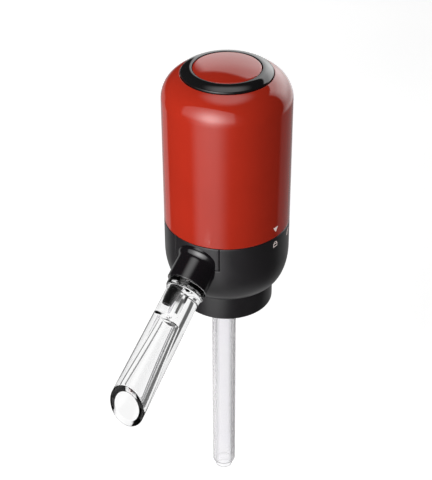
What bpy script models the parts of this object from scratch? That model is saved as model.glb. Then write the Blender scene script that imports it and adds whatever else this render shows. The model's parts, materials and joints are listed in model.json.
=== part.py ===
"""Automatic wine dispenser that stands on the neck of a bottle.

A red shell over six cells and an air pump twists on to a black lower housing. The pump blows air
through the seal into the bottle, and the wine rises through the drop tube, the bent duct and the
nozzle into the clear slanted spout. Metres, +Z up, the spout points towards -Y, and the origin is
on the body's axis where the bottle's lip seats.
"""

from math import asin, cos, pi, radians, sin, sqrt, tan

import bmesh
import bpy
from mathutils import Matrix, Vector

MM = 0.001

# Clearances
GAP = 0.3 * MM  # between neighbouring pieces at rest
SLACK = 0.4 * MM  # round a piece that is put in from one end
OVERRUN = 2.0 * MM  # how far a cutter passes a face
MERGE = 0.00001
WELD = 0.000003  # joins the corners that a cut leaves on top of each other

# Facets of round pieces
BODY_STEPS = 40
INNER_STEPS = 20
SMALL_STEPS = 10
CELL_STEPS = 16
SPOUT_STEPS = 32
ARC_POINTS = 6
INSIDE_POINTS = 4
BEND_POINTS = 4

# Body: heights are from the seat of the bottle's lip
SHELL_WALL = 1.8 * MM
CELL_ROOM = 2.45 * MM  # between a cell and the shell
SHOULDER_RISE = 13.9 * MM
SHOULDER_REACH = 14.8 * MM

# Top ring, button and its well
BUTTON_R = 16.1 * MM
BUTTON_CROWN = 1.2 * MM
BUTTON_EDGE_ROUND = 0.7 * MM
BUTTON_WALL = 1.8 * MM
BUTTON_SKIRT = 7.4 * MM
BUTTON_TRAVEL = 1.5 * MM
BEZEL_W = 5.3 * MM
BEZEL_RISE = 2.0 * MM  # inner edge above the outer edge
BEZEL_STAND = 0.7 * MM  # outer edge above the shell
BEZEL_T = 2.2 * MM
WELL_WALL = 1.6 * MM
WELL_FLOOR = 1.6 * MM
STEM_R = 2.4 * MM
STEM_NECK_R = 1.9 * MM
CLIP_R = 4.8 * MM
CLIP_T = 0.8 * MM
CLIP_MOUTH = 2.6 * MM
SPRING_ROOM = 10.8 * MM  # from the well's floor to the underside of the button
SPRING_R = 4.4 * MM
SPRING_WIRE_R = 0.4 * MM
SPRING_TURNS = 6
SPRING_POINTS = 8  # in a turn

# Lower housing
BASE_WALL = 1.7 * MM
BASE_DROP = 4.0 * MM  # foot below the seat of the bottle's lip
BASE_RISE = 18.2 * MM
BASE_LIP = 1.3 * MM  # inward lip round the collar
NECK_H = 6.5 * MM  # bayonet neck above the seam
NECK_WALL = 2.0 * MM
NECK_ROOT = 3.0 * MM  # thick band below the seam
LUG_COUNT = 3
LUG_W = 4.0 * MM
LUG_H = 2.0 * MM
LUG_LIFT = 2.6 * MM  # above the seam
LUG_BITE = 1.8 * MM
TWIST = radians(25)

# Bottle collar, seal and manifold
COLLAR_WALL = 2.3 * MM
COLLAR_STEP = 1.9 * MM  # outside, below the housing
COLLAR_DEPTH = 17.0 * MM
COLLAR_NECK_H = 6.0 * MM
BOTTLE_LIP_R = 15.6 * MM
SEAL_WALL = 2.7 * MM
SEAL_WEB = 2.5 * MM
SEAL_SHORT = 1.5 * MM  # seal ends above the collar's rim
SEAL_FLARE = 1.0 * MM
MANIFOLD_FLANGE = 1.5 * MM
MANIFOLD_LAND = 1.0 * MM  # flange on the collar's neck
TUBE_BOSS_H = 9.7 * MM
TUBE_BOSS_WALL = 1.8 * MM
AIR_HOLE_R = 1.2 * MM
AIR_HOLE_Y = 7.9 * MM
AIR_NIPPLE_Y = 11.5 * MM
AIR_NIPPLE_H = 5.7 * MM
NIPPLE_R = 2.0 * MM
NIPPLE_BORE_R = 1.0 * MM
AIR_SLOT_H = 1.4 * MM

# Drop tube
TUBE_R = 6.08 * MM
TUBE_WALL = 1.1 * MM
TUBE_Y = -2.8 * MM
TUBE_REACH = 130.0 * MM  # below the seat
TUBE_SEAT = 3.0 * MM  # tube's end below the top of its boss
INNER_TUBE_WALL = 0.9 * MM
INNER_TUBE_OUT = 4.0 * MM
INNER_TUBE_LEN = 122.0 * MM
GLIDE_H = 2.4 * MM
GLIDE_NECK = 0.35 * MM

# Spout: lengths run along its axis, from the body's axis
SPOUT_FALL = radians(30)  # below the horizontal
SPOUT_APEX = 3.5 * MM  # above the seam
SOCKET_R = 9.95 * MM
SOCKET_WALL = 1.75 * MM
SOCKET_STAND = 11.5 * MM  # in front of the knuckle
SOCKET_DEPTH = 12.4 * MM
SOCKET_FLOOR = 2.0 * MM
KNUCKLE_R = 12.3 * MM
KNUCKLE_STAND = 2.4 * MM  # in front of the body's side
KNUCKLE_T = 4.2 * MM
KNUCKLE_ROUND = 2.2 * MM
PANEL_HALF_W = 12.6 * MM
PANEL_H = 12.4 * MM
SPOUT_FLANGE_R = 10.2 * MM
SPOUT_FLANGE_T = 4.3 * MM
SPOUT_NECK_R = 8.5 * MM
SPOUT_TIP_R = 9.3 * MM
SPOUT_REACH = 65.3 * MM  # from the flange to where the axis leaves the slanted tip
SPOUT_TIP_TILT = radians(5)  # of the tip's plane from upright
SPOUT_SPIGOT = 9.0 * MM
SPOUT_SOCKET_R = 4.2 * MM  # round the nozzle
SPOUT_SOCKET_REACH = 19.3 * MM
SPOUT_SOCKET_ROUND = 3.6 * MM
SPOUT_BORE_R = 3.6 * MM
SPOUT_BORE_EASE = 1.2 * MM
SPOUT_MOUTH_R = 6.65 * MM
SPOUT_PULL = 12.0 * MM
ORING_R = 0.9 * MM
ORING_SINK = 0.9 * MM  # groove depth
ORING_BACK = 4.5 * MM  # ring's centre above the flange

# Nozzle and duct: the nozzle's lengths run from its seat on the socket's floor
NOZZLE_SIDE = 2.8 * MM  # beside the spout's axis
NOZZLE_CUP_BACK = 8.2 * MM
NOZZLE_CUP_R = 6.8 * MM
NOZZLE_CUP_DEPTH = 5.0 * MM
NOZZLE_FLANGE_T = 2.0 * MM
NOZZLE_FLANGE_R = 7.9 * MM
NOZZLE_WELL_R = 4.4 * MM
NOZZLE_WELL = 1.6 * MM
NOZZLE_R = 2.9 * MM
NOZZLE_STEP = 19.2 * MM
NOZZLE_NECK_R = 2.25 * MM
NOZZLE_TIP = 26.8 * MM
NOZZLE_TIP_R = 1.8 * MM
NOZZLE_REACH = 27.8 * MM
NOZZLE_BORE_R = 1.2 * MM
DUCT_R = 4.8 * MM
DUCT_BORE_R = 3.0 * MM
DUCT_BEND_R = 6.0 * MM
DUCT_SIDES = 3  # bevel resolution

# Cells and their carrier
CELL_R = 5.25 * MM
CELL_H = 44.5 * MM
CELL_NUB_R = 1.9 * MM
CELL_NUB_H = 1.0 * MM
CELL_SPACE = 0.65 * MM  # between a cell and the sleeve
CELL_COUNT = 6
DECK_T = 2.0 * MM
DECK_HOLE_R = 9.5 * MM
CONTACT_T = 0.6 * MM
CONTACT_W = 4.6 * MM
SLEEVE_WALL = 1.4 * MM
PLATE_T = 2.0 * MM
BOSS_R = 2.9 * MM
BOSS_DEPTH = 18.0 * MM
SCREW_HEAD_R = 2.5 * MM
SCREW_HEAD_H = 1.5 * MM
SCREW_R = 1.2 * MM
SCREW_LEN = 8.0 * MM
POST_WEB_T = 1.8 * MM
POST_H = 25.0 * MM
LEAD_R = 0.6 * MM
DUCT_ROOM = 13.0 * MM  # from the drop tube's boss up to the seam

# Air pump
PUMP_R = 13.5 * MM
PUMP_COVER_T = 3.0 * MM
VALVE_PLATE_T = 2.0 * MM
DIAPHRAGM_T = 1.6 * MM
CUP_COUNT = 3
CUP_R = 3.6 * MM
CUP_H = 3.5 * MM
CUP_WALL = 1.0 * MM
CUP_RING_R = 6.4 * MM
PUMP_FRAME_H = 12.5 * MM
PUMP_FRAME_WALL = 2.0 * MM
DRIVE_PLATE_R = 10.2 * MM
DRIVE_PLATE_T = 1.6 * MM
CAM_R = 5.2 * MM
CAM_T = 3.0 * MM
CRANK_R = 0.9 * MM
CRANK_OFFSET = 2.6 * MM
SHAFT_R = 1.0 * MM
SHAFT_IN = 5.0 * MM
MOTOR_R = 12.2 * MM
MOTOR_ROOM = 0.9 * MM  # from the motor up to the switch board
MOTOR_CAP_R = 9.0 * MM
MOTOR_CAP_H = 2.0 * MM
MOTOR_BOSS_R = 3.0 * MM
PUMP_NIPPLE_H = 5.8 * MM
PUMP_NIPPLE_Y = 6.0 * MM
HOSE_WALL = 0.8 * MM
HOSE_OVERLAP = 3.0 * MM

# Switch
BOARD_T = 1.2 * MM
BOARD_R = 16.5 * MM
BOARD_LIFT = 2.7 * MM
BOARD_PEG_R = 1.6 * MM
BOARD_PEG_RING_R = 14.6 * MM
SWITCH_W = 8.0 * MM
SWITCH_H = 2.6 * MM
PLUNGER_R = 1.6 * MM
PLUNGER_H = 3.0 * MM

# Worked out from the sizes above
SLEEVE_R = PUMP_R + GAP + SLACK + SLEEVE_WALL
CELL_RING_R = SLEEVE_R + CELL_SPACE + CELL_R
BODY_R = CELL_RING_R + CELL_R + CELL_ROOM + SHELL_WALL
NECK_R = BODY_R - SHELL_WALL - GAP
COLLAR_BORE_R = BOTTLE_LIP_R + GAP + SEAL_WALL + GAP
COLLAR_NECK_R = COLLAR_BORE_R + COLLAR_WALL
COLLAR_R = COLLAR_NECK_R + COLLAR_STEP
SEAL_R = COLLAR_BORE_R - GAP
SEAL_BORE_R = SEAL_R - SEAL_WALL
MANIFOLD_Z = SEAL_WEB + GAP
MANIFOLD_FLANGE_Z = COLLAR_NECK_H + GAP
MANIFOLD_TOP_Z = MANIFOLD_FLANGE_Z + MANIFOLD_FLANGE
TUBE_BOSS_TOP_Z = MANIFOLD_TOP_Z + TUBE_BOSS_H
SEAM_Z = TUBE_BOSS_TOP_Z + DUCT_ROOM
BASE_HOLE_R = COLLAR_NECK_R + GAP
BASE_FOOT_R = BASE_HOLE_R + BASE_LIP
BASE_REACH = BODY_R - BASE_FOOT_R
BASE_FOOT_Z = -BASE_DROP
BASE_SIDE_Z = BASE_FOOT_Z + BASE_RISE
RIM_Z = SEAM_Z - GAP / 2
SHELL_FOOT_Z = SEAM_Z + GAP / 2
BEZEL_R = BUTTON_R + GAP + BEZEL_W
SHELL_MOUTH_R = BEZEL_R + GAP
WELL_R = BUTTON_R + GAP
STEM_HOLE_R = STEM_R + GAP
DECK_TOP_Z = SEAM_Z + NECK_H
DECK_R = NECK_R - NECK_WALL - GAP
POST_RING_R = DECK_R - BOSS_R
CELL_Z = DECK_TOP_Z + GAP + CONTACT_T + GAP
CONTACT_TOP_Z = CELL_Z + CELL_H + GAP
PLATE_Z = CONTACT_TOP_Z + CONTACT_T + GAP
PLATE_TOP_Z = PLATE_Z + PLATE_T
SLEEVE_TOP_Z = PLATE_Z - GAP
BOSS_RING_R = SLEEVE_R + BOSS_R - SLEEVE_WALL / 2
BOARD_Z = PLATE_TOP_Z + BOARD_LIFT + GAP
SWITCH_Z = BOARD_Z + BOARD_T + GAP
SWITCH_TOP_Z = SWITCH_Z + SWITCH_H
PLUNGER_Z = SWITCH_Z + BUTTON_TRAVEL + GAP / 3
PLUNGER_TOP_Z = PLUNGER_Z + PLUNGER_H
STEM_END_Z = PLUNGER_TOP_Z + GAP
CLIP_Z = max(STEM_END_Z + CLIP_T, SWITCH_TOP_Z + BUTTON_TRAVEL + GAP)
WELL_BOTTOM_Z = CLIP_Z + CLIP_T + GAP
WELL_FLOOR_Z = WELL_BOTTOM_Z + WELL_FLOOR
TOP_Z = WELL_FLOOR_Z + SPRING_ROOM + BUTTON_WALL
BEZEL_EDGE_Z = TOP_Z - BEZEL_RISE
RECESS_Z = BEZEL_EDGE_Z - BEZEL_T - GAP
SHELL_TOP_Z = BEZEL_EDGE_Z - BEZEL_STAND
SHOULDER_Z = SHELL_TOP_Z - SHOULDER_RISE * sqrt(
    1 - ((SHELL_MOUTH_R - BODY_R + SHOULDER_REACH) / SHOULDER_REACH) ** 2
)
COLLAR_TOP_Z = BASE_FOOT_Z - GAP
TUBE_TOP_Z = TUBE_BOSS_TOP_Z - TUBE_SEAT - GAP
TUBE_BORE_R = TUBE_R - TUBE_WALL
INNER_TUBE_R = TUBE_BORE_R - SLACK
INNER_BORE_R = INNER_TUBE_R - INNER_TUBE_WALL
INNER_TUBE_END_Z = -TUBE_REACH - INNER_TUBE_OUT
POST_TOP_Z = DECK_TOP_Z - DECK_T - GAP
PUMP_COVER_Z = DECK_TOP_Z + GAP
VALVE_PLATE_Z = PUMP_COVER_Z + PUMP_COVER_T + GAP
DIAPHRAGM_Z = VALVE_PLATE_Z + VALVE_PLATE_T + GAP
PUMP_FRAME_Z = DIAPHRAGM_Z + DIAPHRAGM_T + GAP
PUMP_FRAME_TOP_Z = PUMP_FRAME_Z + PUMP_FRAME_H
CUP_TOP_Z = DIAPHRAGM_Z + DIAPHRAGM_T + CUP_H
DRIVE_PLATE_Z = CUP_TOP_Z + GAP
MOTOR_Z = PUMP_FRAME_TOP_Z + GAP
MOTOR_TOP_Z = BOARD_Z - MOTOR_ROOM
MOTOR_BOSS_Z = MOTOR_Z - PUMP_FRAME_WALL
CAM_TOP_Z = MOTOR_BOSS_Z - GAP
CAM_Z = CAM_TOP_Z - CAM_T
CRANK_HOLE_R = CRANK_OFFSET + CRANK_R + SLACK
SPOUT_APEX_Z = SEAM_Z + SPOUT_APEX
SPOUT_DIRECTION = Vector((0, -cos(SPOUT_FALL), -sin(SPOUT_FALL)))
SOCKET_BORE_R = SOCKET_R - SOCKET_WALL
SPIGOT_R = SOCKET_BORE_R - GAP
KNUCKLE_END = BODY_R + KNUCKLE_STAND
KNUCKLE_START = KNUCKLE_END - KNUCKLE_T
SOCKET_END = KNUCKLE_END + SOCKET_STAND
SOCKET_BACK = SOCKET_END - SOCKET_DEPTH
FLANGE_START = SOCKET_END + GAP
FLANGE_END = FLANGE_START + SPOUT_FLANGE_T
SPIGOT_START = FLANGE_START - SPOUT_SPIGOT
SPOUT_END = FLANGE_START + SPOUT_REACH
SPOUT_SOCKET_END = FLANGE_START + SPOUT_SOCKET_REACH
NOZZLE_SEAT = SOCKET_BACK - SOCKET_FLOOR - GAP
NOZZLE_HOLE_R = NOZZLE_R + SLACK
NOZZLE_CUP_START = NOZZLE_SEAT - NOZZLE_CUP_BACK
NOZZLE_CUP_END = NOZZLE_CUP_START + NOZZLE_CUP_DEPTH
DUCT_END = NOZZLE_CUP_END - GAP
WINDOW_R = NECK_R + GAP / 2
PANEL_INNER_R = WINDOW_R + GAP


def clear_scene():
    for obj in list(bpy.data.objects):
        bpy.data.objects.remove(obj, do_unlink=True)


def new_collection(name, hidden=False):
    group = bpy.data.collections.new(name)
    bpy.context.scene.collection.children.link(group)
    group.hide_render = hidden
    return group


clear_scene()
PARTS = new_collection("automatic_wine_dispenser")
CUTTERS = new_collection("cutters", hidden=True)


def material(name, colour, roughness, metallic=0.0, transmission=0.0):
    made = bpy.data.materials.new(name)
    made.use_nodes = True
    shader = made.node_tree.nodes["Principled BSDF"]
    shader.inputs["Base Color"].default_value = (*colour, 1.0)
    shader.inputs["Roughness"].default_value = roughness
    shader.inputs["Metallic"].default_value = metallic
    shader.inputs["Transmission Weight"].default_value = transmission
    made.diffuse_color = (*colour, 1.0)
    return made


RED = material("red_abs", (0.62, 0.03, 0.02), 0.16)
BLACK = material("black_abs", (0.02, 0.02, 0.022), 0.35)
GLOSS_BLACK = material("gloss_black", (0.015, 0.015, 0.016), 0.12)
CLEAR = material("clear_acrylic", (0.92, 0.94, 0.95), 0.03, transmission=1.0)
TUBE_WHITE = material("tube_plastic", (0.82, 0.83, 0.86), 0.3)
SILICONE = material("silicone", (0.55, 0.55, 0.56), 0.6)
CARRIER_GREY = material("carrier_plastic", (0.12, 0.12, 0.13), 0.45)
STEEL = material("steel", (0.6, 0.6, 0.6), 0.25, metallic=1.0)
BRASS = material("brass", (0.75, 0.6, 0.3), 0.3, metallic=1.0)
CELL_GREEN = material("cell_wrap", (0.08, 0.25, 0.12), 0.3)
BOARD_GREEN = material("board", (0.02, 0.2, 0.08), 0.4)
LEAD_RED = material("lead_red", (0.6, 0.03, 0.03), 0.4)
LEAD_BLACK = material("lead_black", (0.03, 0.03, 0.03), 0.4)


def add(name, mesh, finish, group=PARTS):
    obj = bpy.data.objects.new(name, mesh)
    group.objects.link(obj)
    if finish:
        mesh.materials.append(finish)
    if group == CUTTERS:
        obj.hide_render = True
        obj.display_type = "WIRE"
    return obj


def shade(mesh):
    mesh.shade_smooth()
    mesh.set_sharp_from_angle(angle=radians(35))


def weld(mesh):
    shape = bmesh.new()
    shape.from_mesh(mesh)
    bmesh.ops.remove_doubles(shape, verts=shape.verts, dist=WELD)
    shape.to_mesh(mesh)
    shape.free()


def applied(obj):
    """The object with its modifiers turned into its mesh."""
    bpy.context.view_layer.update()
    graph = bpy.context.evaluated_depsgraph_get()
    mesh = bpy.data.meshes.new_from_object(obj.evaluated_get(graph))
    mesh.name = obj.name
    obj.modifiers.clear()
    obj.data = mesh
    return obj


def lathe(name, profile, finish, steps=INNER_STEPS, group=PARTS):
    """A profile of (radius, height) points, down its outer side and up its inner side, turned about Z."""
    mesh = bpy.data.meshes.new(name)
    points = [(radius, 0, height) for radius, height in profile]
    edges = [(i, i + 1) for i in range(len(points) - 1)]
    if profile[0][0] > 0:
        edges.append((len(points) - 1, 0))
    mesh.from_pydata(points, edges, [])
    obj = add(name, mesh, finish, group)
    turn = obj.modifiers.new("turn", "SCREW")
    turn.axis = "Z"
    turn.steps = steps
    turn.render_steps = steps
    turn.use_merge_vertices = True
    turn.merge_threshold = MERGE
    applied(obj)
    shade(obj.data)
    return obj


def ring(name, inner, outer, low, high, finish, steps=INNER_STEPS, group=PARTS):
    return lathe(name, [(outer, high), (outer, low), (inner, low), (inner, high)], finish, steps, group)


def disc(name, radius, low, high, finish, steps=INNER_STEPS, group=PARTS):
    return lathe(name, [(0, high), (radius, high), (radius, low), (0, low)], finish, steps, group)


def box(name, low, high, finish, group=PARTS):
    low, high = Vector(low), Vector(high)
    shape = bmesh.new()
    bmesh.ops.create_cube(shape, size=1)
    size = high - low
    bmesh.ops.scale(shape, vec=size, verts=shape.verts)
    bmesh.ops.translate(shape, vec=(low + high) / 2, verts=shape.verts)
    mesh = bpy.data.meshes.new(name)
    shape.to_mesh(mesh)
    shape.free()
    return add(name, mesh, finish, group)


def combine(obj, other, operation):
    """Boolean of the object with another, which is used up."""
    step = obj.modifiers.new(operation.lower(), "BOOLEAN")
    step.operation = operation
    step.solver = "EXACT"
    step.object = other
    applied(obj)
    bpy.data.objects.remove(other, do_unlink=True)
    weld(obj.data)
    shade(obj.data)
    return obj


def cut(obj, *cutters):
    for cutter in cutters:
        combine(obj, cutter, "DIFFERENCE")
    return obj


def join(obj, *others):
    for other in others:
        combine(obj, other, "UNION")
    return obj


def move(obj, x=0, y=0, z=0, turn=0):
    """The mesh is turned about Z after it is moved."""
    obj.data.transform(Matrix.Rotation(turn, 4, "Z") @ Matrix.Translation((x, y, z)))
    return obj


def at_angle(obj, radius, angle):
    return move(obj, x=radius, turn=angle)


def thirds(start):
    return [start + 2 * pi * i / 3 for i in range(3)]


def hole(radius, low, high, x=0, y=0, steps=SMALL_STEPS):
    return move(disc("hole", radius, low, high, None, steps, CUTTERS), x=x, y=y)


def arc(centre_r, centre_z, reach, rise, start, stop, count=ARC_POINTS):
    """Points of an elliptic quarter, from one angle above the horizontal to another."""
    angles = [start + (stop - start) * i / (count - 1) for i in range(count)]
    return [(centre_r + reach * cos(a), centre_z + rise * sin(a)) for a in angles]


SPOUT_AXIS = bpy.data.objects.new("spout_axis", None)
SPOUT_AXIS.location = (0, 0, SPOUT_APEX_Z)
SPOUT_AXIS.rotation_euler = (pi / 2 + SPOUT_FALL, 0, 0)
PARTS.objects.link(SPOUT_AXIS)


def along_spout(obj):
    """The object's own Z then runs down the spout."""
    obj.parent = SPOUT_AXIS
    return obj


def spout_point(distance):
    return Vector((0, 0, SPOUT_APEX_Z)) + SPOUT_DIRECTION * distance


def spout_lathe(name, profile, finish, steps=INNER_STEPS, group=PARTS):
    """As lathe, with heights measured along the spout. The profile runs down the outer side."""
    return along_spout(lathe(name, profile, finish, steps, group))


def rod(name, points, radius, finish, sides=2, group=PARTS):
    """A round bar along a smooth list of points, as a closed mesh."""
    curve = bpy.data.curves.new(name, "CURVE")
    curve.dimensions = "3D"
    curve.bevel_depth = radius
    curve.bevel_resolution = sides
    curve.use_fill_caps = True
    line = curve.splines.new("POLY")
    line.points.add(len(points) - 1)
    for spot, point in zip(line.points, points):
        spot.co = (*point, 1)
    guide = bpy.data.objects.new(name, curve)
    bpy.context.scene.collection.objects.link(guide)
    bpy.context.view_layer.update()
    graph = bpy.context.evaluated_depsgraph_get()
    mesh = bpy.data.meshes.new_from_object(guide.evaluated_get(graph))
    bpy.data.objects.remove(guide, do_unlink=True)
    bpy.data.curves.remove(curve)
    shape = bmesh.new()
    shape.from_mesh(mesh)
    bmesh.ops.remove_doubles(shape, verts=shape.verts, dist=MERGE)
    bmesh.ops.recalc_face_normals(shape, faces=shape.faces)
    shape.to_mesh(mesh)
    shape.free()
    mesh.name = name
    shade(mesh)
    return add(name, mesh, finish, group)


def stepped_route(start, end, first, last, count=BEND_POINTS):
    """Straight up from the start, eased over sideways, and straight up to the end."""
    start, end = Vector(start), Vector(end)
    route = [start]
    for i in range(count + 1):
        share = i / count
        eased = share * share * (3 - 2 * share)
        low = start.z + first
        height = low + (end.z - last - low) * share
        spot = start.lerp(end, eased)
        route.append(Vector((spot.x, spot.y, height)))
    return route + [end]


# Upper shell
def shell_arc(inset, start, stop, count=ARC_POINTS):
    centre_r = BODY_R - SHOULDER_REACH
    return arc(centre_r, SHOULDER_Z, SHOULDER_REACH - inset, SHOULDER_RISE - inset, start, stop, count)


def make_upper_shell():
    top_angle = asin((SHELL_TOP_Z - SHOULDER_Z) / SHOULDER_RISE)
    inner_z = RECESS_Z - SHELL_WALL
    inner_angle = asin((inner_z - SHOULDER_Z) / (SHOULDER_RISE - SHELL_WALL))
    inside = shell_arc(SHELL_WALL, 0, inner_angle, INSIDE_POINTS)
    profile = shell_arc(0, top_angle, 0) + [
        (BODY_R, SHELL_FOOT_Z),
        (BODY_R - SHELL_WALL, SHELL_FOOT_Z),
        *inside,
        (WELL_R + WELL_WALL, inner_z),
        (WELL_R + WELL_WALL, WELL_BOTTOM_Z),
        (STEM_HOLE_R, WELL_BOTTOM_Z),
        (STEM_HOLE_R, WELL_FLOOR_Z),
        (WELL_R, WELL_FLOOR_Z),
        (WELL_R, RECESS_Z),
        (SHELL_MOUTH_R, RECESS_Z),
    ]
    shell = lathe("upper_shell", profile, RED, BODY_STEPS)
    for angle in thirds(pi / 6):
        inner = NECK_R - LUG_BITE
        low = (inner, -LUG_W / 2, SEAM_Z + LUG_LIFT)
        high = (BODY_R - SHELL_WALL / 2, LUG_W / 2, SEAM_Z + LUG_LIFT + LUG_H)
        join(shell, move(box("lug", low, high, None), turn=angle))
    return shell


def make_top_bezel():
    inner = BUTTON_R + GAP
    crown = [
        (inner + BEZEL_W * s, BEZEL_EDGE_Z + BEZEL_RISE * (1 - s**2))
        for s in (i / (ARC_POINTS - 2) for i in range(ARC_POINTS - 1))
    ]
    profile = crown + [(BEZEL_R, RECESS_Z + GAP), (inner, RECESS_Z + GAP)]
    return lathe("top_bezel", profile, GLOSS_BLACK, BODY_STEPS)


def make_power_button():
    round_r = BUTTON_R - BUTTON_EDGE_ROUND
    crown = [
        (round_r * s, TOP_Z + BUTTON_CROWN * (1 - s**2))
        for s in (i / (ARC_POINTS - 2) for i in range(ARC_POINTS - 1))
    ]
    under_z = TOP_Z - BUTTON_WALL
    skirt_z = TOP_Z - BUTTON_SKIRT
    skirt_r = BUTTON_R - WELL_WALL
    neck_low = CLIP_Z - GAP / 2
    neck_high = CLIP_Z + CLIP_T + GAP / 2
    profile = crown + [
        (BUTTON_R, TOP_Z - BUTTON_EDGE_ROUND),
        (BUTTON_R, skirt_z),
        (skirt_r, skirt_z),
        (skirt_r, under_z),
        (STEM_R, under_z),
        (STEM_R, neck_high),
        (STEM_NECK_R, neck_high),
        (STEM_NECK_R, neck_low),
        (STEM_R, neck_low),
        (STEM_R, STEM_END_Z),
        (0, STEM_END_Z),
    ]
    return lathe("power_button", profile, RED, BODY_STEPS)


def make_button_clip():
    clip = ring("button_clip", STEM_NECK_R + GAP / 2, CLIP_R, CLIP_Z, CLIP_Z + CLIP_T, STEEL)
    low = (0, -CLIP_MOUTH / 2, CLIP_Z - OVERRUN)
    high = (CLIP_R + OVERRUN, CLIP_MOUTH / 2, CLIP_Z + CLIP_T + OVERRUN)
    return cut(clip, box("mouth", low, high, None, CUTTERS))


def make_button_spring():
    low = WELL_FLOOR_Z + GAP + SPRING_WIRE_R
    high = TOP_Z - BUTTON_WALL - GAP - SPRING_WIRE_R
    count = SPRING_TURNS * SPRING_POINTS
    points = []
    for i in range(count + 1):
        angle = 2 * pi * i / SPRING_POINTS
        points.append((SPRING_R * cos(angle), SPRING_R * sin(angle), low + (high - low) * i / count))
    pitch = (high - low) / SPRING_TURNS
    print("button_spring least gap between turns, mm:", round((pitch - 2 * SPRING_WIRE_R) / MM, 2))
    return rod("button_spring", points, SPRING_WIRE_R, STEEL, sides=0)


# Lower housing
def base_arc(inset, start, stop, count=ARC_POINTS):
    points = arc(BASE_FOOT_R, 0, BASE_REACH - inset, BASE_RISE - inset, start, stop, count)
    return [(radius, BASE_SIDE_Z - height) for radius, height in points]


def make_base_housing():
    neck_in = NECK_R - NECK_WALL
    inner_r = BODY_R - BASE_WALL
    foot_in_z = BASE_FOOT_Z + BASE_WALL
    profile = [
        (NECK_R, DECK_TOP_Z),
        (NECK_R, RIM_Z),
        (BODY_R, RIM_Z),
        *base_arc(0, 0, pi / 2),
        (BASE_HOLE_R, BASE_FOOT_Z),
        (BASE_HOLE_R, foot_in_z),
        *base_arc(BASE_WALL, pi / 2, 0, INSIDE_POINTS),
        (inner_r, RIM_Z - NECK_ROOT - NECK_WALL),
        (neck_in, RIM_Z - NECK_ROOT),
        (neck_in, DECK_TOP_Z),
    ]
    base = lathe("base_housing", profile, BLACK, BODY_STEPS)
    for angle in thirds(pi / 2):
        post = disc("post", BOSS_R, POST_TOP_Z - POST_H, POST_TOP_Z, None, SMALL_STEPS)
        join(base, at_angle(post, POST_RING_R, angle))
        low = (POST_RING_R, -POST_WEB_T / 2, POST_TOP_Z - POST_H)
        high = (inner_r + BASE_WALL / 2, POST_WEB_T / 2, RIM_Z - NECK_ROOT / 2)
        join(base, move(box("web", low, high, None), turn=angle))
        bore = hole(SCREW_R + GAP, POST_TOP_Z - SCREW_LEN, POST_TOP_Z + OVERRUN)
        cut(base, at_angle(bore, POST_RING_R, angle))
    cut_bayonet(base)
    window_low = RIM_Z - PANEL_H - GAP
    window_high = RIM_Z + OVERRUN
    outside = BODY_R + OVERRUN
    window = ring("window", WINDOW_R, outside, window_low, window_high, None, BODY_STEPS, CUTTERS)
    half = PANEL_HALF_W + GAP
    low = (-half, -outside - OVERRUN, window_low - OVERRUN)
    combine(window, box("front", low, (half, 0, window_high + OVERRUN), None), "INTERSECT")
    cut(base, window)
    for radius, start, end in (
        (KNUCKLE_R + GAP, KNUCKLE_START - GAP, KNUCKLE_END + OVERRUN),
        (SOCKET_R + GAP, KNUCKLE_START, SOCKET_END + OVERRUN),
        (NOZZLE_FLANGE_R + SLACK, NOZZLE_CUP_START, KNUCKLE_START + GAP),
    ):
        cut(base, along_spout(disc("socket_hole", radius, start, end, None, INNER_STEPS, CUTTERS)))
    return base


def cut_bayonet(base):
    """Slots for the shell's lugs: along the twist, and up to the neck's edge at its end."""
    inner = NECK_R - NECK_WALL - OVERRUN
    outer = NECK_R + GAP / 2
    low_z = SEAM_Z + LUG_LIFT - SLACK
    high_z = SEAM_Z + LUG_LIFT + LUG_H + SLACK
    top = DECK_TOP_Z + OVERRUN
    half = LUG_W / 2 + SLACK
    run_half = NECK_R * sin(TWIST / 2) + half + SLACK
    for start in thirds(pi / 6):
        run = box("run", (inner, -run_half, low_z), (outer, run_half, high_z), None, CUTTERS)
        entry = box("entry", (inner, -half, low_z + LUG_H / 2), (outer, half, top), None, CUTTERS)
        cut(base, move(run, turn=start + TWIST / 2), move(entry, turn=start + TWIST))


# Bottle collar, seal and manifold
def make_bottle_collar():
    profile = [
        (COLLAR_NECK_R, COLLAR_NECK_H),
        (COLLAR_NECK_R, COLLAR_TOP_Z),
        (COLLAR_R, COLLAR_TOP_Z),
        (COLLAR_R, -COLLAR_DEPTH),
        (COLLAR_BORE_R, -COLLAR_DEPTH),
        (COLLAR_BORE_R, COLLAR_NECK_H),
    ]
    return lathe("bottle_collar", profile, BLACK, BODY_STEPS)


def make_bottle_seal():
    low = -COLLAR_DEPTH + SEAL_SHORT
    profile = [
        (0, SEAL_WEB),
        (SEAL_R, SEAL_WEB),
        (SEAL_R, low),
        (SEAL_BORE_R + SEAL_FLARE, low),
        (SEAL_BORE_R, low + 2 * SEAL_FLARE),
        (SEAL_BORE_R, 0),
        (0, 0),
    ]
    seal = lathe("bottle_seal", profile, SILICONE, 2 * INNER_STEPS)
    return cut(
        seal,
        hole(TUBE_R + GAP, -OVERRUN, SEAL_WEB + OVERRUN, y=TUBE_Y, steps=INNER_STEPS),
        hole(AIR_HOLE_R, -OVERRUN, SEAL_WEB + OVERRUN, y=AIR_HOLE_Y),
    )


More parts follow.
